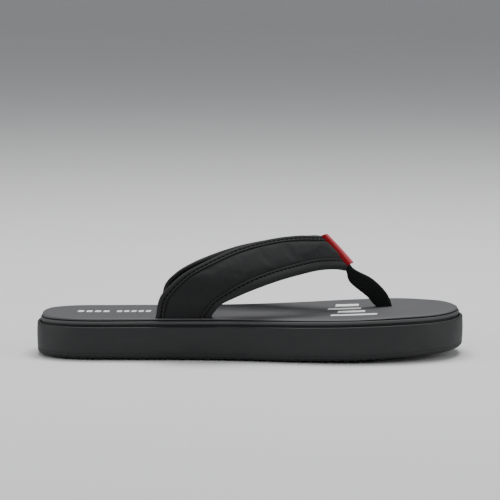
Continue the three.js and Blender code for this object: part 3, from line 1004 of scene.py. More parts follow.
    def footbed_base(self, cutters: Sequence[bpy.types.Object]) -> bpy.types.Object:
        """The lower footbed layer, which shows as a dark band above the rim.

        Args:
            cutters: What is cut out of it for the strap and the post.

        Returns:
            The dressed piece.
        """
        s, sizes = self.shape, self.sizes
        wall, pinched = sizes.rim + sizes.wall_gap, sizes.rim + sizes.pinch
        levels = [(pinched, above(s.lip, -3.6 * MM)), (pinched, above(s.lip, 1.0 * MM))]
        for t in spaced(0, math.pi / 2, 6):
            inset = pinched - (pinched - wall) * math.sin(t)
            levels.append((inset, above(s.lip, 1.05 * MM + 0.7 * MM * (1 - math.cos(t)))))
        levels += rounded(wall, s.band, 1.5 * MM, 1.3 * MM, 6)
        levels += [(5.5 * MM, s.band), (8.5 * MM, s.bed)]
        piece = self.layer("footbed_band", levels)
        cut_with(piece, cutters)
        return show(piece, self.layer_foam, "footbed_foam", "footbed_base")

    def footbed_cover(self, cutters: Sequence[bpy.types.Object]) -> bpy.types.Object:
        """The footbed's skin with its cushioned foam, rounded at the edge and dished inside.

        Args:
            cutters: What is cut out of it for the strap and the post.

        Returns:
            The dressed piece.
        """
        s = self.shape
        inset = self.sizes.rim + self.sizes.cover_inset
        levels = [(inset + 4 * MM, above(s.bed, 0.1 * MM)), (inset + 1.4 * MM, above(s.band, 0.1 * MM))]
        levels += [(inset + 1.1 * MM, above(s.band, 0.3 * MM))]
        levels += [(inset + 0.2 * MM, above(s.band, 0.55 * MM))]
        levels += rounded(inset, s.edge, 2.6 * MM, 0.95 * MM, 6)
        levels += [(inset + 3.6 * MM, s.footbed)]
        piece = self.layer("footbed_skin", levels)
        cut_with(piece, cutters)
        return show(piece, self.skin, "footbed_skin", "footbed_cover", "footbed_pad")


# ---- Strap ---------------------------------------------------------------------------------------


class Side(Enum):
    """Which side of the foot an arm of the strap lies on; the value is the sign of Y."""

    LATERAL = -1
    MEDIAL = 1


# Rear and front edge of each arm: per cent of the length along, of the width across and of the
# strap's rise above the footbed's edge.
ARM_EDGES = {
    Side.LATERAL: (
        ((-21.8, -28.1, 0), (-20.9, -31, 26.9), (-19.2, -32.4, 39.6), (-15.4, -31.4, 58.5),
         (-10, -27.1, 74.1), (-4.2, -19, 86.5), (0.7, -11.9, 93.1), (6.3, -3.8, 97.7),
         (11.6, 2.8, 99.2), (14.9, 7.2, 97.4), (16.6, 11.4, 95.2)),
        ((-8.9, -29.5, 0), (-7.6, -33.8, 12.6), (-6.5, -36.2, 19.2), (-3.9, -37.6, 26.9),
         (-0.7, -36.7, 34.9), (2.8, -34.3, 42.2), (6.7, -28.6, 48.4), (11.6, -19, 53.5),
         (16.5, -7.6, 56.3), (20.9, 2.8, 54.7), (23.7, 11.4, 50.6)),
    ),
    Side.MEDIAL: (
        ((-21, 26.7, 0), (-20.3, 29.5, 27.6), (-17.6, 31, 43.9), (-14.4, 30.5, 55),
         (-10, 29.5, 65.9), (-4.2, 27, 77.5), (0, 24.8, 83.9), (6.3, 21.4, 91),
         (11.6, 18.6, 94.9), (14.9, 15.8, 95.9), (16.6, 11.4, 95.2)),
        ((-7, 27.6, 0), (-6, 31.9, 11.6), (-4.4, 34.3, 18.5), (-1.8, 36.2, 26.4),
         (1.4, 36.2, 33.3), (4.6, 34.8, 39.7), (8.1, 32, 45.6), (12.3, 28.6, 50.4),
         (16.5, 24.2, 53.3), (20.9, 18.2, 52.9), (23.7, 11.4, 50.6)),
    ),
}
SEAM = len(ARM_EDGES[Side.LATERAL][0])  # station of the centre seam; station 1 is the footbed
SEAM_Y_PERCENT = ARM_EDGES[Side.LATERAL][0][-1][1]
ROW_STEPS = 1200  # measured steps along a row of stitches


@dataclass(frozen=True)
class StrapSizes:
    """Thicknesses, seams and stitches of the strap."""

    rise: float = 50 * MM
    half: float = 2.45 * MM  # from mid-thickness to the outer face of a binding
    crown: float = 1.5 * MM
    rear_binding: float = 5.5 * MM
    front_binding: float = 7 * MM
    lining: float = 0.9 * MM
    tail_depth: float = 19 * MM
    tail_ply: float = 2.2 * MM
    tail_margin: float = 3 * MM
    seam_gap: float = 0.06 * MM
    line_inset: float = 2.1 * MM  # from a binding's inner edge to its row of stitches
    stitch_pitch: float = 3.2 * MM
    stitch_length: float = 2.4 * MM
    thread: float = 0.62 * MM
    start: float = 0.85  # station where the arm's plies begin, inside the sole
    clearance: float = 0.35 * MM
    tuck: float = 0.4 * MM  # how far the panel and the lining reach under each binding
    puff: float = 0.55 * MM
    sink: float = 0.32 * MM  # how far the stitches' middles lie under a binding's face
    seam_reach: float = 0.45  # stations that label and tape reach along each arm


@dataclass(frozen=True)
class Station:
    """The strap's own axes at one place along an arm."""

    origin: Vector
    across: Vector
    normal: Vector
    ahead: Vector
    width: float


def dome(x: float, low: float, high: float, power: float = 2.0) -> float:
    """A pillow profile: 0 at low and at high, 1 in the middle, steeper at the ends for a higher power."""
    t = min(1.0, max(-1.0, 2 * (x - low) / (high - low) - 1))
    return 1 - abs(t) ** power


class Arm:
    """One arm of the strap: places points by station, width across and height from mid-thickness."""

    def __init__(self, side: Side, shape: SoleShape, sizes: StrapSizes) -> None:
        """Draws the arm's two edges.

        Args:
            side: The side of the foot.
            shape: The sole that the arm stands in.
            sizes: The strap's sizes.
        """
        self.side, self.shape, self.sizes = side, shape, sizes
        self.name = side.name.lower()
        self.rear, self.front = (self._edge(points) for points in ARM_EDGES[side])
        self.known: dict[float, Station] = {}
        self.rows: dict[float, list[float]] = {}

    def _edge(self, percents: Sequence[tuple[float, float, float]]) -> SmoothCurve:
        """The curve of one edge, from the end of its tail in the sole to the centre seam.

        Args:
            percents: Points in per cent of the sole's length, its width and the strap's rise.

        Returns:
            The edge's curve.
        """
        shape, sizes = self.shape, self.sizes
        points = []
        for x, y, z in percents:
            along = x * shape.length / 100
            height = shape.datum(along) + z * sizes.rise / 100
            points.append(Vector((along, y * shape.width / 100, height)))
        points[-1].y = SEAM_Y_PERCENT * shape.width / 100 + self.side.value * sizes.seam_gap / 2
        return SmoothCurve([points[0] - Vector((0, 0, sizes.tail_depth)), *points])

    def _middle(self, station: float) -> Vector:
        """Midway between the arm's edges."""
        return self.rear.at(station).lerp(self.front.at(station), 0.5)

    def station(self, station: float) -> Station:
        """The arm's axes at a station.

        Args:
            station: Place along the arm.

        Returns:
            Origin on the rear edge, directions and width there.
        """
        key = round(station, 5)
        if key not in self.known:
            origin = self.rear.at(station)
            across = self.front.at(station) - origin
            ahead = (self._middle(station + 0.1) - self._middle(station - 0.1)).normalized()
            seamward = Vector((0, -self.side.value, 0))
            ahead = ahead.lerp(seamward, smooth(SEAM - 1.6, SEAM, station)).normalized()
            unit = across.normalized()
            normal = (unit.cross(ahead) * -self.side.value).normalized()
            self.known[key] = Station(origin, unit, normal, ahead, across.length)
        return self.known[key]

    def point(self, station: float, v: float, h: float) -> Vector:
        """A point on the arm.

        Args:
            station: Place along the arm.
            v: Distance from the rear edge.
            h: Height from mid-thickness, outwards.

        Returns:
            The point in the frame.
        """
        at = self.station(station)
        fullness = smooth(1, 3, station) * (1 - 0.75 * smooth(SEAM - 1.8, SEAM, station))
        swell = self.sizes.crown * fullness * dome(v, 0, at.width)
        return at.origin + at.across * v + at.normal * (h + swell)

    def stations(self, start: float, end: float, count: int) -> list[float]:
        """Stations that lie evenly spaced along the arm's middle.

        Args:
            start: First station.
            end: Last station.
            count: How many there are.

        Returns:
            The stations, in order.
        """
        fine = spaced(start, end, 400)
        reach = running_length([self._middle(s) for s in fine])
        found, j = [], 0
        for target in spaced(0, reach[-1], count):
            while j < len(fine) - 2 and reach[j + 1] < target:
                j += 1
            span = max(reach[j + 1] - reach[j], 1e-12)
            found.append(mix(fine[j], fine[j + 1], min(1.0, (target - reach[j]) / span)))
        return found

    def sweep(self, name: str, section: Callable[[float, float], Profile], start: float,
              end: float = SEAM, count: int = 130) -> bpy.types.Object:
        """Sweeps a section along the arm.

        Args:
            name: The first part of the piece's name.
            section: Gives the section's corners for the arm's width and the station there.
            start: First station.
            end: Last station.
            count: Number of rings.

        Returns:
            The piece.
        """
        form = Form()
        rings = []
        for s in self.stations(start, end, count):
            width = self.station(s).width
            rings.append([self.point(s, v, h) for v, h in section(width, s)])
        form.sweep(rings)
        return form.finish(f"{name}_{self.name}")

    def stitch_phase(self, station: float, line: float) -> float:
        """How far a place lies along a row of stitches.

        Args:
            station: Place along the arm.
            line: The row's distance from the rear edge or, if negative, from the front edge.

        Returns:
            The distance in stitches.
        """
        if line not in self.rows:
            self.rows[line] = running_length([
                self.point(s, line if line >= 0 else self.station(s).width + line, 0)
                for s in spaced(0, SEAM, ROW_STEPS + 1)
            ])
        reach = self.rows[line]
        place = min(max(station / SEAM * ROW_STEPS, 0), ROW_STEPS - 0.001)
        i = int(place)
        return mix(reach[i], reach[i + 1], place - i) / self.sizes.stitch_pitch

    def seam_line(self, line: float, h: float, start: float, end: float) -> list:
        """Places of the stitches along a line on the arm.

        Args:
            line: Distance from the rear edge or, if negative, from the front edge.
            h: Height of the stitches' middles.
            start: First station.
            end: Last station.

        Returns:
            Each stitch's middle, direction and outward direction.
        """
        steps = spaced(start, end, 1400)
        found = []
        before = self.stitch_phase(steps[0], line)
        for station in steps[1:-1]:
            phase = self.stitch_phase(station, line)
            if math.floor(phase + 0.5) > math.floor(before + 0.5):
                width = self.station(station).width
                v = line if line >= 0 else width + line
                ahead = self.point(station + 0.01, v, h) - self.point(station - 0.01, v, h)
                out = self.station(station).normal * (1 if h > 0 else -1)
                along = ahead.normalized()
                side = (out - along * out.dot(along)).normalized()
                found.append((self.point(station, v, h), along, side))
            before = phase
        return found


PANEL_UPPER = 31  # corners of a panel's section on its outer face
PANEL_LOWER = 13  # and on the foot's side
SWELL_FRAMES = 20


def rounded_slab(
    across: tuple[float, float], heights: tuple[float, float], radius: float, columns: int,
    corners: int, turn: tuple[float, float] = (0.35, 2.79),
) -> Profile:
    """The section of a flat strip whose two ends are rounded.

    Args:
        across: Where the strip starts and ends, from the arm's rear edge.
        heights: Its underside's and its upper side's height from mid-thickness.
        radius: How far each rounded end reaches inwards.
        columns: Corners along each flat.
        corners: Corners round each end.
        turn: First and last angle of an end, from the upper flat.

    Returns:
        The section's corners, in order.
    """
    (start, end), (low, high) = across, heights
    middle, half = (low + high) / 2, (high - low) / 2
    flats = spaced(start + radius, end - radius, columns)
    right = [
        (end - radius + radius * math.sin(t), middle + half * math.cos(t))
        for t in spaced(*turn, corners)
    ]
    left = [
        (start + radius - radius * math.sin(t), middle + half * math.cos(t))
        for t in spaced(*reversed(turn), corners)
    ]
    return [(v, high) for v in flats] + right + [(v, low) for v in flats[::-1]] + left


class Strap:
    """The two padded arms, their bindings and stitches, and the tape and label on their seam."""

    def __init__(self, shape: SoleShape, sizes: StrapSizes) -> None:
        """Makes the arms and the strap's finishes.

        Args:
            shape: The sole that the strap stands in.
            sizes: The strap's sizes.
        """
        self.shape, self.sizes = shape, sizes
        self.arms = [Arm(side, shape, sizes) for side in Side]
        self.cloth = ClothFinish("strap_cloth", (0.0098, 0.0101, 0.0108), Weave.PLAIN, 0.84).material()
        self.edge_cloth = ClothFinish(
            "binding_cloth", (0.0102, 0.0105, 0.0112), Weave.PLAIN, 0.74, 0.1 * MM, 0.08
        ).material()
        self.lining = ClothFinish(
            "lining_cloth", (0.0085, 0.009, 0.0095), Weave.KNIT, 0.92, 0.1 * MM, 0.2
        ).material()
        self.tape = ClothFinish("tape_cloth", (0.0085, 0.009, 0.0095), Weave.RIB, 0.85).material()
        self.thread = ThreadFinish("strap_thread", (0.0024, 0.0025, 0.0026)).material()

    # -- sections --

    def _panel(self, width: float, station: float) -> Profile:
        """The padded middle panel: tucked down at both seams and swollen between them.

        Args:
            width: The arm's width at the station.
            station: Place along the arm.

        Returns:
            The section's corners.
        """
        s = self.sizes
        low, high = s.rear_binding - s.tuck, width - s.front_binding + s.tuck
        base = -s.half + s.lining + 0.08 * MM
        puff = s.puff * smooth(1.05, 2.2, station)
        upper = []
        for v in spaced(low, high, PANEL_UPPER):
            shoulder = 1 - (1 - min(1.0, min(v - low, high - v) / (2.2 * MM))) ** 2.4
            height = mix(s.half - 1.5 * MM, s.half - 0.1 * MM, shoulder)
            upper.append((v, height + puff * dome(v, low, high, 2.4)))
        return upper + [(v, base) for v in spaced(high, low, PANEL_LOWER)]

    def _binding(self, arm: Arm, depth: float, front: bool) -> Callable[[float, float], Profile]:
        """A folded edge binding that its stitches pull down, with a rounded inner edge.

        Args:
            arm: The arm that it edges.
            depth: How wide the fold is.
            front: Whether it edges the arm's front.

        Returns:
            A function that gives the section at a station.
        """
        s = self.sizes
        line = depth - s.line_inset

        def section(width: float, station: float) -> Profile:
            """The binding's section at one station.

            Args:
                width: The arm's width there.
                station: Place along the arm.

            Returns:
                The section's corners.
            """
            phase = arm.stitch_phase(station, -line if front else line)
            pull = 0.66 * MM - 0.36 * MM * math.cos(math.pi * phase) ** 2
            face = []
            for v in spaced(depth, 2.3 * MM, 21):
                dip = pull * math.exp(-(((v - line) / (0.62 * MM)) ** 2))
                swell = 0.22 * MM * dome(v, line + 0.5 * MM, depth, 2) if v > line + 0.5 * MM else 0.0
                edge = 0.75 * MM * (1 - min(1.0, (depth - v) / (0.8 * MM))) ** 2.2
                face.append((v, s.half - dip - edge + swell))
            nose = []
            for k in range(1, 16):
                t = math.pi * k / 16
                nose.append((2.3 * MM * (1 - abs(math.sin(t)) ** 0.85), s.half * math.cos(t)))
            back = [(v, -h) for v, h in reversed(face)]
            wall = [(depth, h) for h in spaced(-s.half + 1.0 * MM, s.half - 1.0 * MM, 4)]
            points = face + nose + back + wall
            return [(width - v if front else v, h) for v, h in points]

        return section

    def _lining(self, width: float, _station: float) -> Profile:
        """The brushed lining on the foot's side, softened at its seams.

        Args:
            width: The arm's width at the station.
            _station: Place along the arm, which changes nothing.

        Returns:
            The section's corners.
        """
        s = self.sizes
        low, high = s.rear_binding - s.tuck, width - s.front_binding + s.tuck
        top = -s.half + s.lining
        under = []
        for v in spaced(high, low, 27):
            fall = 0.5 * MM * (1 - min(1.0, min(v - low, high - v) / (1.4 * MM))) ** 2.2
            under.append((v, -s.half - 0.12 * MM + fall))
        return [(v, top) for v in spaced(low, high, 13)] + under

    def _tail(self, width: float, _station: float) -> Profile:
        """The plain webbing tail that is glued into the sole.

        Args:
            width: The arm's width at the station.
            _station: Place along the arm, which changes nothing.

        Returns:
            The section's corners.
        """
        s = self.sizes
        across = (s.tail_margin + s.rear_binding, width - s.tail_margin - s.front_binding)
        half = s.tail_ply / 2
        return rounded_slab(across, (-half, half), 0.5 * MM, 9, 5, (0.4, 2.74))

    # -- pieces --

    def _stitch_rows(self, arm: Arm, front: bool) -> bpy.types.Object:
        """Both faces' stitches along one binding.

        Args:
            arm: The arm that they lie on.
            front: Whether they hold the front binding.

        Returns:
            The finished rows, one piece.
        """
        s = self.sizes
        depth = s.front_binding if front else s.rear_binding
        line = depth - s.line_inset
        form = Form()
        for sign in (1, -1):
            height = sign * (s.half - s.sink)
            places = arm.seam_line(-line if front else line, height, 1.12, SEAM - 0.12)
            for centre, along, out in places:
                form.stitch(centre, along, out, s.stitch_length, s.thread)
        word = "front" if front else "rear"
        return form.finish(f"{word}_stitches_{arm.name}", 1e-7)

    def build(self) -> None:
        """Builds both arms and what lies over their seam."""
        s = self.sizes
        for arm in self.arms:
            n = arm.name
            panel = arm.sweep("padded_panel", self._panel, s.start)
            self.swell(panel)
            show(panel, self.cloth, "strap_fabric", f"strap_cover_{n}", f"strap_pad_{n}")
            for word, depth in (("rear", s.rear_binding), ("front", s.front_binding)):
                section = self._binding(arm, depth, word == "front")
                fold = arm.sweep(f"{word}_binding_fold", section, s.start, count=240)
                show(fold, self.edge_cloth, "strap_fabric", f"strap_{word}_binding_{n}")
            lining = arm.sweep("brushed_lining", self._lining, s.start)
            show(lining, self.lining, "lining_fabric", f"strap_lining_{n}")
            tail = arm.sweep("webbing_tail", self._tail, 0.0, 1.4, 24)
            show(tail, self.tape, "webbing", f"strap_tail_{n}")
            for word in ("rear", "front"):
                row = self._stitch_rows(arm, word == "front")
                show(row, self.thread, "thread", f"{word}_stitching_{n}")
        self._label()
        self._seam_tape()

    def swell(self, panel: bpy.types.Object, cap: float = 0.55 * MM) -> None:
        """Lets the panel's face swell and crease between its seams in a short cloth simulation.

        Args:
            panel: The swept panel.
            cap: The furthest that any part of the face may move.
        """
        mesh = panel.data
        along, share = ([d.value for d in mesh.attributes[name].data] for name in ("along", "share"))
        last = max(along)
        held = panel.vertex_groups.new(name="held")
        corners = PANEL_UPPER + PANEL_LOWER
        low, high = 1.5 / corners, (PANEL_UPPER - 2.5) / corners
        free = [low < s < high and 16 * MM < a < last - 4 * MM for a, s in zip(along, share)]
        held.add([i for i, is_free in enumerate(free) if not is_free], 1.0, "REPLACE")
        modifier = panel.modifiers.new("puff", "CLOTH")
        settings = modifier.settings
        settings.vertex_group_mass = "held"
        settings.quality, settings.mass = 8, 0.2
        settings.tension_stiffness = settings.compression_stiffness = 20
        settings.bending_stiffness, settings.shear_stiffness = 0.4, 8
        settings.use_pressure, settings.uniform_pressure_force = True, 4
        settings.shrink_min = settings.shrink_max = -0.025
        settings.effector_weights.gravity = 0
        modifier.collision_settings.use_collision = False
        modifier.point_cache.frame_start, modifier.point_cache.frame_end = 1, SWELL_FRAMES
        scene = bpy.context.scene
        for number in range(1, SWELL_FRAMES + 1):
            scene.frame_set(number)
        shape = panel.evaluated_get(bpy.context.evaluated_depsgraph_get()).to_mesh()
        moves = [new.co - old.co for new, old in zip(shape.vertices, mesh.vertices)]
        panel.to_mesh_clear()
        panel.modifiers.clear()
        scene.frame_set(1)
        for vert, move, is_free in zip(mesh.vertices, moves, free):
            if is_free and math.isfinite(move.length):
                vert.co += move * min(1.0, cap / max(move.length, 1e-9))
        form = bmesh.new()
        form.from_mesh(mesh)
        loose = [v for v, is_free in zip(form.verts, free) if is_free]
        every_axis = {"use_axis_x": True, "use_axis_y": True, "use_axis_z": True}
        for _ in range(3):
            bmesh.ops.smooth_vert(form, verts=loose, factor=0.5, **every_axis)
        form.to_mesh(mesh)
        form.free()

    def _across_seam(
        self, name: str, section: Profile, droop: float, ridge: float
    ) -> bpy.types.Object:
        """Sweeps a section over both arms at the seam.

        Args:
            name: The piece's name.
            section: Its corners, by distance from the rear edge and height.
            droop: How far its two ends fold down.
            ridge: How much higher it lies on the seam itself.

        Returns:
            The piece.
        """
        form = Form()
        mid = sum(h for _, h in section) / len(section)
        outer, inner = self.arms
        reach = self.sizes.seam_reach
        steps = spaced(0, 1, 10)
        places = [(outer, SEAM - reach * (1 - t)) for t in steps]
        places += [(inner, SEAM - reach * t) for t in steps[1:]]
        rings = []
        for index, (arm, station) in enumerate(places):
            end = min(index, len(places) - 1 - index) / 3
            fold = (1 - min(1.0, end)) ** 2
            peak = 1 - abs(2 * index / (len(places) - 1) - 1)
            middle = mid - droop * fold + ridge * smooth(0, 0.75, peak)
            thin = 1 - 0.35 * fold
            rings.append([arm.point(station, v, middle + (h - mid) * thin) for v, h in section])
        form.sweep(rings)
        return form.finish(name)

    def _label(self) -> None:
        """The plain folded label that is sewn flat over the seam."""
        section = rounded_slab((1.2 * MM, 27.6 * MM), (2.2 * MM, 3.6 * MM), 0.5 * MM, 33, 6)
        label = self._across_seam("folded_label", section, 0.6 * MM, 1.5 * MM)
        length = max(d.value for d in label.data.attributes["along"].data)
        log.info("folded_label: %.1f mm over the seam", length / MM)
        # the crest in the middle of the label is a painted highlight of the light on its fold over the
        # seam
        satin = ClothFinish(
            "label_satin", (0.2, 0.0012, 0.0042), Weave.SATIN, 0.55, 0.04 * MM, 0.0, 0.9, 0.1,
            crest=length / 2, crest_reach=length * 0.22,
        )
        show(label, satin.material(), "label_fabric", "centre_label")

    def _seam_tape(self) -> None:
        """The tape that covers the seam on the foot's side."""
        section = rounded_slab((5.5 * MM, 25.5 * MM), (-3.6 * MM, -2.7 * MM), 0.4 * MM, 25, 5)
        tape = self._across_seam("seam_tape_strip", section, 0.0, 0.0)
        show(tape, self.tape, "lining_fabric", "seam_tape")

    # -- cutters --

    def slots(self) -> list[bpy.types.Object]:
        """Cutters for the slots in the sole that take the arms and their tails.

        Returns:
            Four closed objects.
        """
        s = self.sizes
        reach = s.clearance
        cutters = []

        def whole(width: float, _station: float) -> Profile:
            """The arm's own space."""
            half = s.half + reach
            return [(-reach, half), (width + reach, half), (width + reach, -half), (-reach, -half)]

        def narrow(width: float, _station: float) -> Profile:
            """The tail's space.

            Args:
                width: The arm's width at the station.
                _station: Place along the arm, which changes nothing.

            Returns:
                The section's corners.
            """
            half = s.tail_ply / 2 + reach
            low = s.tail_margin + s.rear_binding - reach
            high = width - s.tail_margin - s.front_binding + reach
            return [(low, half), (high, half), (high, -half), (low, -half)]

        for arm in self.arms:
            cutters.append(arm.sweep("slot_cutter", whole, s.start - 0.03, 1.5, 14))
            cutters.append(arm.sweep("tail_cutter", narrow, 0.0, s.start + 0.05, 10))
        return cutters


# ---- Toe post ------------------------------------------------------------------------------------

# Rear and front edge of the webbing, from the strap's nose down to the footbed: millimetres ahead of
# the nose, and height above the footbed in per cent of the strap's rise.
POST_REAR = (
    (-1.9, 57), (-1.1, 53), (-0.3, 48), (0.2, 42.5), (1.9, 36), (5.9, 28.5), (10.3, 21.5),
    (14.1, 15), (17, 7.6), (20.2, 0),
)
POST_FRONT = (
    (2.2, 60), (3.4, 57), (5.8, 53.2), (9.8, 49), (15, 43.6), (19.8, 36.2), (24.2, 27.2),
    (27.4, 18.5), (29.4, 9.5), (30.4, 0),
)


@dataclass
class ToePost:
    """The flattened webbing loop between the toes and the washer that anchors it."""

    shape: SoleShape
    sizes: StrapSizes
    foot: float = 10 * MM
    width_top: float = 8 * MM
    width_low: float = 4.4 * MM
    nose: float = field(init=False)
    middle_y: float = field(init=False)

    def __post_init__(self) -> None:
        """Places the post under the strap's nose."""
        self.nose = 0.23 * self.shape.length
        self.middle_y = SEAM_Y_PERCENT * self.shape.width / 100

    def _edge(self, percents: Sequence[tuple[float, float]]) -> SmoothCurve:
        """One edge of the webbing, ending on its washer.

        Args:
            percents: Millimetres ahead of the nose, and per cent of the strap's rise.

        Returns:
            The edge's curve.
        """
        points = []
        for i, (ahead, height) in enumerate(percents):
            x = self.nose + ahead * MM
            y = self.middle_y + 4 * MM * smooth(0, len(percents) - 1, i)
            z = self.shape.datum(x) - self.shape.dish + height * self.sizes.rise / 100
            points.append(Vector((x, y, z)))
        return SmoothCurve([*points, Vector((points[-1].x, points[-1].y, self.foot))])

    def _rings(self, corners: Profile, clearance: float, start: float, count: int) -> list[list[Vector]]:
        """Rings of the webbing.

        Args:
            corners: Share of the webbing's width, and of its half thickness, for each point.
            clearance: How much wider the rings are all round.
            start: Share of the post where they begin.
            count: Number of rings.

        Returns:
            The rings, from the top.
        """
        rear, front = self._edge(POST_REAR), self._edge(POST_FRONT)
        rings = []
        for t in spaced(start, 1, count):
            a, b = rear.at(t * rear.spans), front.at(t * front.spans)
            out = (b - a).normalized() * clearance
            a, b = a - out, b + out
            half = mix(self.width_top, self.width_low, smooth(0, 0.3, t)) / 2 + clearance
            rings.append([a.lerp(b, s) + Vector((0, y * half, 0)) for s, y in corners])
        return rings

    def build(self) -> None:
        """Builds the webbing and dresses the washer inside the sole."""
        webbing = ClothFinish(
            "post_webbing", (0.0062, 0.0069, 0.0066), Weave.RIB, 0.9, 0.22 * MM, 0.03, 0.5, 0.2
        )
        corners = []
        for k in range(40):
            t = 2 * math.pi * k / 40
            c, d = math.cos(t), math.sin(t)
            share = 0.5 + math.copysign(abs(c) ** 0.45, c) / 2
            corners.append((share, math.copysign(abs(d) ** 0.7, d)))
        form = Form()
        form.sweep(self._rings(corners, 0.0, 0.0, 90))
        show(form.finish("post_webbing_loop"), webbing.material(), "webbing", "toe_post")
        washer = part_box("post_washer")
        radius, middle = (washer[1].x - washer[0].x) / 2, (washer[0] + washer[1]) / 2
        self._washer(radius, middle, washer[1].z - washer[0].z)

    def _washer(self, radius: float, middle: Vector, thickness: float) -> None:
        """The moulded washer, rounded at its rim.

        Args:
            radius: Its radius.
            middle: Its centre.
            thickness: Its thickness.
        """
        finish = FoamFinish("washer_plastic", (0.012, 0.012, 0.012), 0.4, 1.4 * MM, 0.02 * MM)
        half, r = thickness / 2, 0.6 * MM
        rings = []
        for t in (*spaced(0, math.pi / 2, 5), *spaced(math.pi / 2 + 1e-6, math.pi, 5)):
            height = (half - r) * (1 if t < math.pi / 2 else -1) + r * math.cos(t)
            rings.append(circle(middle + Vector((0, 0, height)), radius - r + r * math.sin(t), 64))
        form = Form()
        form.sweep(rings)
        show(form.finish("anchor_washer"), finish.material(), "washer_plastic", "post_washer")

    def cutters(self, washer: bool) -> list[bpy.types.Object]:
        """Cutters for the post's hole and, if asked for, the washer's seat.

        Args:
            washer: Whether the washer's seat is wanted too.

        Returns:
            The closed objects.
        """
        half = [(0, -0.55), (0.12, -1), (0.88, -1), (1, -0.55)]
        corners = half + [(share, -y) for share, y in reversed(half)]
        form = Form()
        form.sweep(self._rings(corners, self.sizes.clearance, 0.5, 15))
        made = [form.finish("post_cutter")]
        if washer:
            low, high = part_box("post_washer")
            middle, radius = (low + high) / 2, (high.x - low.x) / 2 + self.sizes.clearance
            seat = Form()
            ends = (0.0, high.z + 0.15 * MM)
            seat.sweep([circle(Vector((middle.x, middle.y, z)), radius, 48) for z in ends])
            made.append(seat.finish("washer_cutter"))
        return made


# ---- Printed marks -------------------------------------------------------------------------------


# Stripes under the forefoot: their ends across the sole in per cent of its width, then along it in per
# cent of its length.
STRIPES = (
    (-21, -15.5, 18.8, 29.6), (-7, 0, 20.6, 27), (7, 12.5, 18.4, 26.2), (21, 28, 20.4, 25.9),
)


@dataclass
class PrintedMarks:
    """Plain marks on the footbed: leaning bars at the heel and stripes under the forefoot."""

    shape: SoleShape
    lift: float = 0.05 * MM
    thickness: float = 0.14 * MM
    bar_share: float = 0.68
    bar_lean: float = 0.7 * MM
    stripe_lean: float = 0.6 * MM

    def _bar(self, form: Form, corners: Sequence[Vector]) -> None:
        """Adds one bar that follows the footbed between two lines of points.

        Args:
            form: The print that it joins.
            corners: Points of the two lines, taken in turn.
        """
        low, high = self.lift, self.lift + self.thickness
        rings = []
        for a, b in zip(corners[::2], corners[1::2]):
            row = [a.lerp(b, t) for t in (0, 0.06, *spaced(0.15, 0.85, 8), 0.94, 1)]
            side = low + (high - low) * 0.4
            heights = (side, *[high] * 10, side)
            tops = [Vector((p.x, p.y, self.shape.footbed(p.x, p.y) + h)) for p, h in zip(row, heights)]
            base = [Vector((p.x, p.y, self.shape.footbed(p.x, p.y) + low)) for p in reversed(row)]
            rings.append(tops + base)
        form.sweep(rings)

    def row(
        self, form: Form, x: tuple[float, float], y: tuple[float, float], bars: int
    ) -> None:
        """Adds a row of bars.

        Args:
            form: The print that they join.
            x: The row's ends along the sole, in per cent of its length.
            y: The bars' ends across the sole, in per cent of its width.
            bars: Number of bars.
        """
        s = self.shape
        x0, x1 = (v * s.length / 100 for v in x)
        y0, y1 = (v * s.width / 100 for v in y)
        pitch = (x1 - x0) / bars
        for number in range(bars):
            start = x0 + number * pitch
            corners = []
            for t in spaced(0, 1, 9):
                near = start + self.bar_lean * (t - 0.5)
                across = mix(y0, y1, t)
                corners += [Vector((near, across, 0)), Vector((near + pitch * self.bar_share, across, 0))]
            self._bar(form, corners)

    def build(self) -> None:
        """Builds the heel's two rows of bars and the forefoot's stripes."""
        ink = InkFinish("print_ink", (0.93, 0.93, 0.93)).material()
        heel = Form()
        self.row(heel, (-40.6, -32.6), (5.2, 11), 4)
        self.row(heel, (-31.4, -22.9), (5.2, 11), 5)
        show(heel.finish("heel_bars", 1e-7), ink, "print_ink", "heel_print")
        toe = Form()
        self.stripes(toe)
        show(toe.finish("forefoot_bars", 1e-7), ink, "print_ink", "forefoot_print")

    def stripes(self, form: Form) -> None:
        """Adds four stripes of different lengths along the sole, under the toes.

        Args:
            form: The print that they join.
        """
        s = self.shape
        for y0, y1, x0, x1 in STRIPES:
            corners = []
            for t in spaced(0, 1, 5):
                y = mix(y0, y1, t) * s.width / 100
                lean = self.stripe_lean * (t - 0.5)
                corners += [Vector((x * s.length / 100 + lean, y, 0)) for x in (x0, x1)]
            self._bar(form, corners)


# ---- Studio --------------------------------------------------------------------------------------


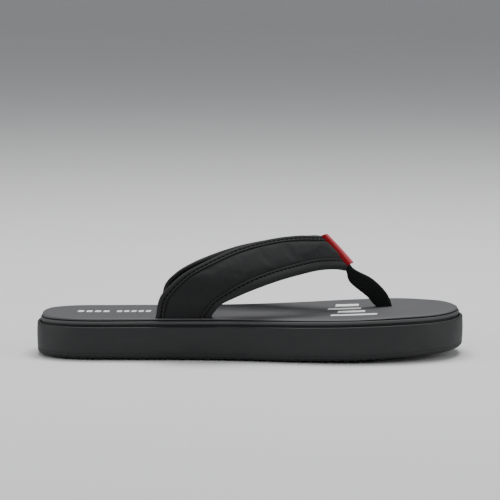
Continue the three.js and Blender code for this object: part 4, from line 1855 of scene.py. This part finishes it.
@dataclass
class Studio:
    """Camera, pale floor and soft lights."""

    distance: float = 2.0
    elevation: float = 6.9
    aim: Vector = field(default_factory=lambda: Vector((0, 0, 69.2 * MM)))
    lens: float = 215.4

    def camera(self) -> None:
        """Sets the camera level with the sandal's outer side, a little above it."""
        data = bpy.data.cameras.new("camera")
        data.sensor_width, data.lens = 36, self.lens
        data.clip_start, data.clip_end = 0.05, 60
        camera = bpy.data.objects.new("camera", data)
        bpy.context.scene.collection.objects.link(camera)
        tilt = math.radians(self.elevation)
        back = Vector((0, -math.cos(tilt), math.sin(tilt)))
        camera.location = self.aim + back * self.distance
        camera.rotation_euler = (-back).to_track_quat("-Z", "Y").to_euler()
        bpy.context.scene.camera = camera

    def floor(self) -> None:
        """Lays a wide plain floor that turns up far behind the sandal."""
        form = Form()
        line = [Vector((x, -6, 0)) for x in spaced(-9, 9, 3)]
        ring = form.start(line, closed=False)
        turn = [(mix(-6, 5, t), 0.0) for t in spaced(0.2, 1, 5)]
        turn += [(5 + 1.5 * math.sin(a), 1.5 - 1.5 * math.cos(a)) for a in spaced(0.2, math.pi / 2, 8)]
        turn += [(6.5, 6.0)]
        for y, z in turn:
            ring = form.extend(ring, [Vector((p.x, y, z)) for p in line], closed=False)
        piece = form.finish("floor")
        paint = Paint("floor_paint")
        mottle = paint.noise(paint.place(), 0.3, 3)
        paint.set(Base_Color=paint.blend(mottle, (0.74, 0.74, 0.74), (0.78, 0.78, 0.78)), Roughness=0.9)
        piece.data.materials.append(paint.material)

    def light(self, name: str, place: Vector, size: tuple[float, float], power: float) -> None:
        """Hangs one soft rectangular light aimed at the sandal.

        Args:
            name: The light's name.
            place: Where it hangs.
            size: Its two sides.
            power: Its power in watts.
        """
        data = bpy.data.lights.new(name, "AREA")
        data.shape, data.size, data.size_y, data.energy = "RECTANGLE", *size, power
        lamp = bpy.data.objects.new(name, data)
        bpy.context.scene.collection.objects.link(lamp)
        lamp.location = place
        lamp.rotation_euler = (Vector((0, 0, 0.03)) - place).to_track_quat("-Z", "Y").to_euler()

    def build(self) -> None:
        """Sets the whole studio up."""
        self.camera()
        self.floor()
        self.light("top_softbox", Vector((0.1, 0.4, 1.5)), (1.2, 0.75), 26)
        self.light("front_softbox", Vector((-0.3, -1.9, 1.1)), (1.4, 0.9), 6)
        self.light("toe_softbox", Vector((1.6, -0.5, 0.6)), (0.8, 0.8), 9)
        self.light("heel_softbox", Vector((-1.7, -0.4, 0.6)), (0.8, 0.8), 9)
        world = bpy.data.worlds.new("studio_world")
        world.use_nodes = True
        background = world.node_tree.nodes["Background"]
        background.inputs[0].default_value = (0.9, 0.92, 0.95, 1)
        background.inputs[1].default_value = 0.35
        bpy.context.scene.world = world


# ---- Assembly ------------------------------------------------------------------------------------


def main() -> None:
    """Builds the sandal and its studio."""
    logging.basicConfig(level=logging.INFO, format="%(name)s %(message)s")
    low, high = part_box("midsole")
    shape = SoleShape(length=high.x - low.x, width=high.y - low.y)
    sizes = StrapSizes()
    sole = Sole(shape, SoleSizes())
    strap = Strap(shape, sizes)
    post = ToePost(shape, sizes)
    sole.outsole()
    sole.midsole(strap.slots() + post.cutters(washer=True))
    sole.footbed_base(strap.slots() + post.cutters(washer=False))
    sole.footbed_cover(strap.slots() + post.cutters(washer=False))
    strap.build()
    post.build()
    PrintedMarks(shape).build()
    Studio().build()


if __name__ == "__main__":
    main()
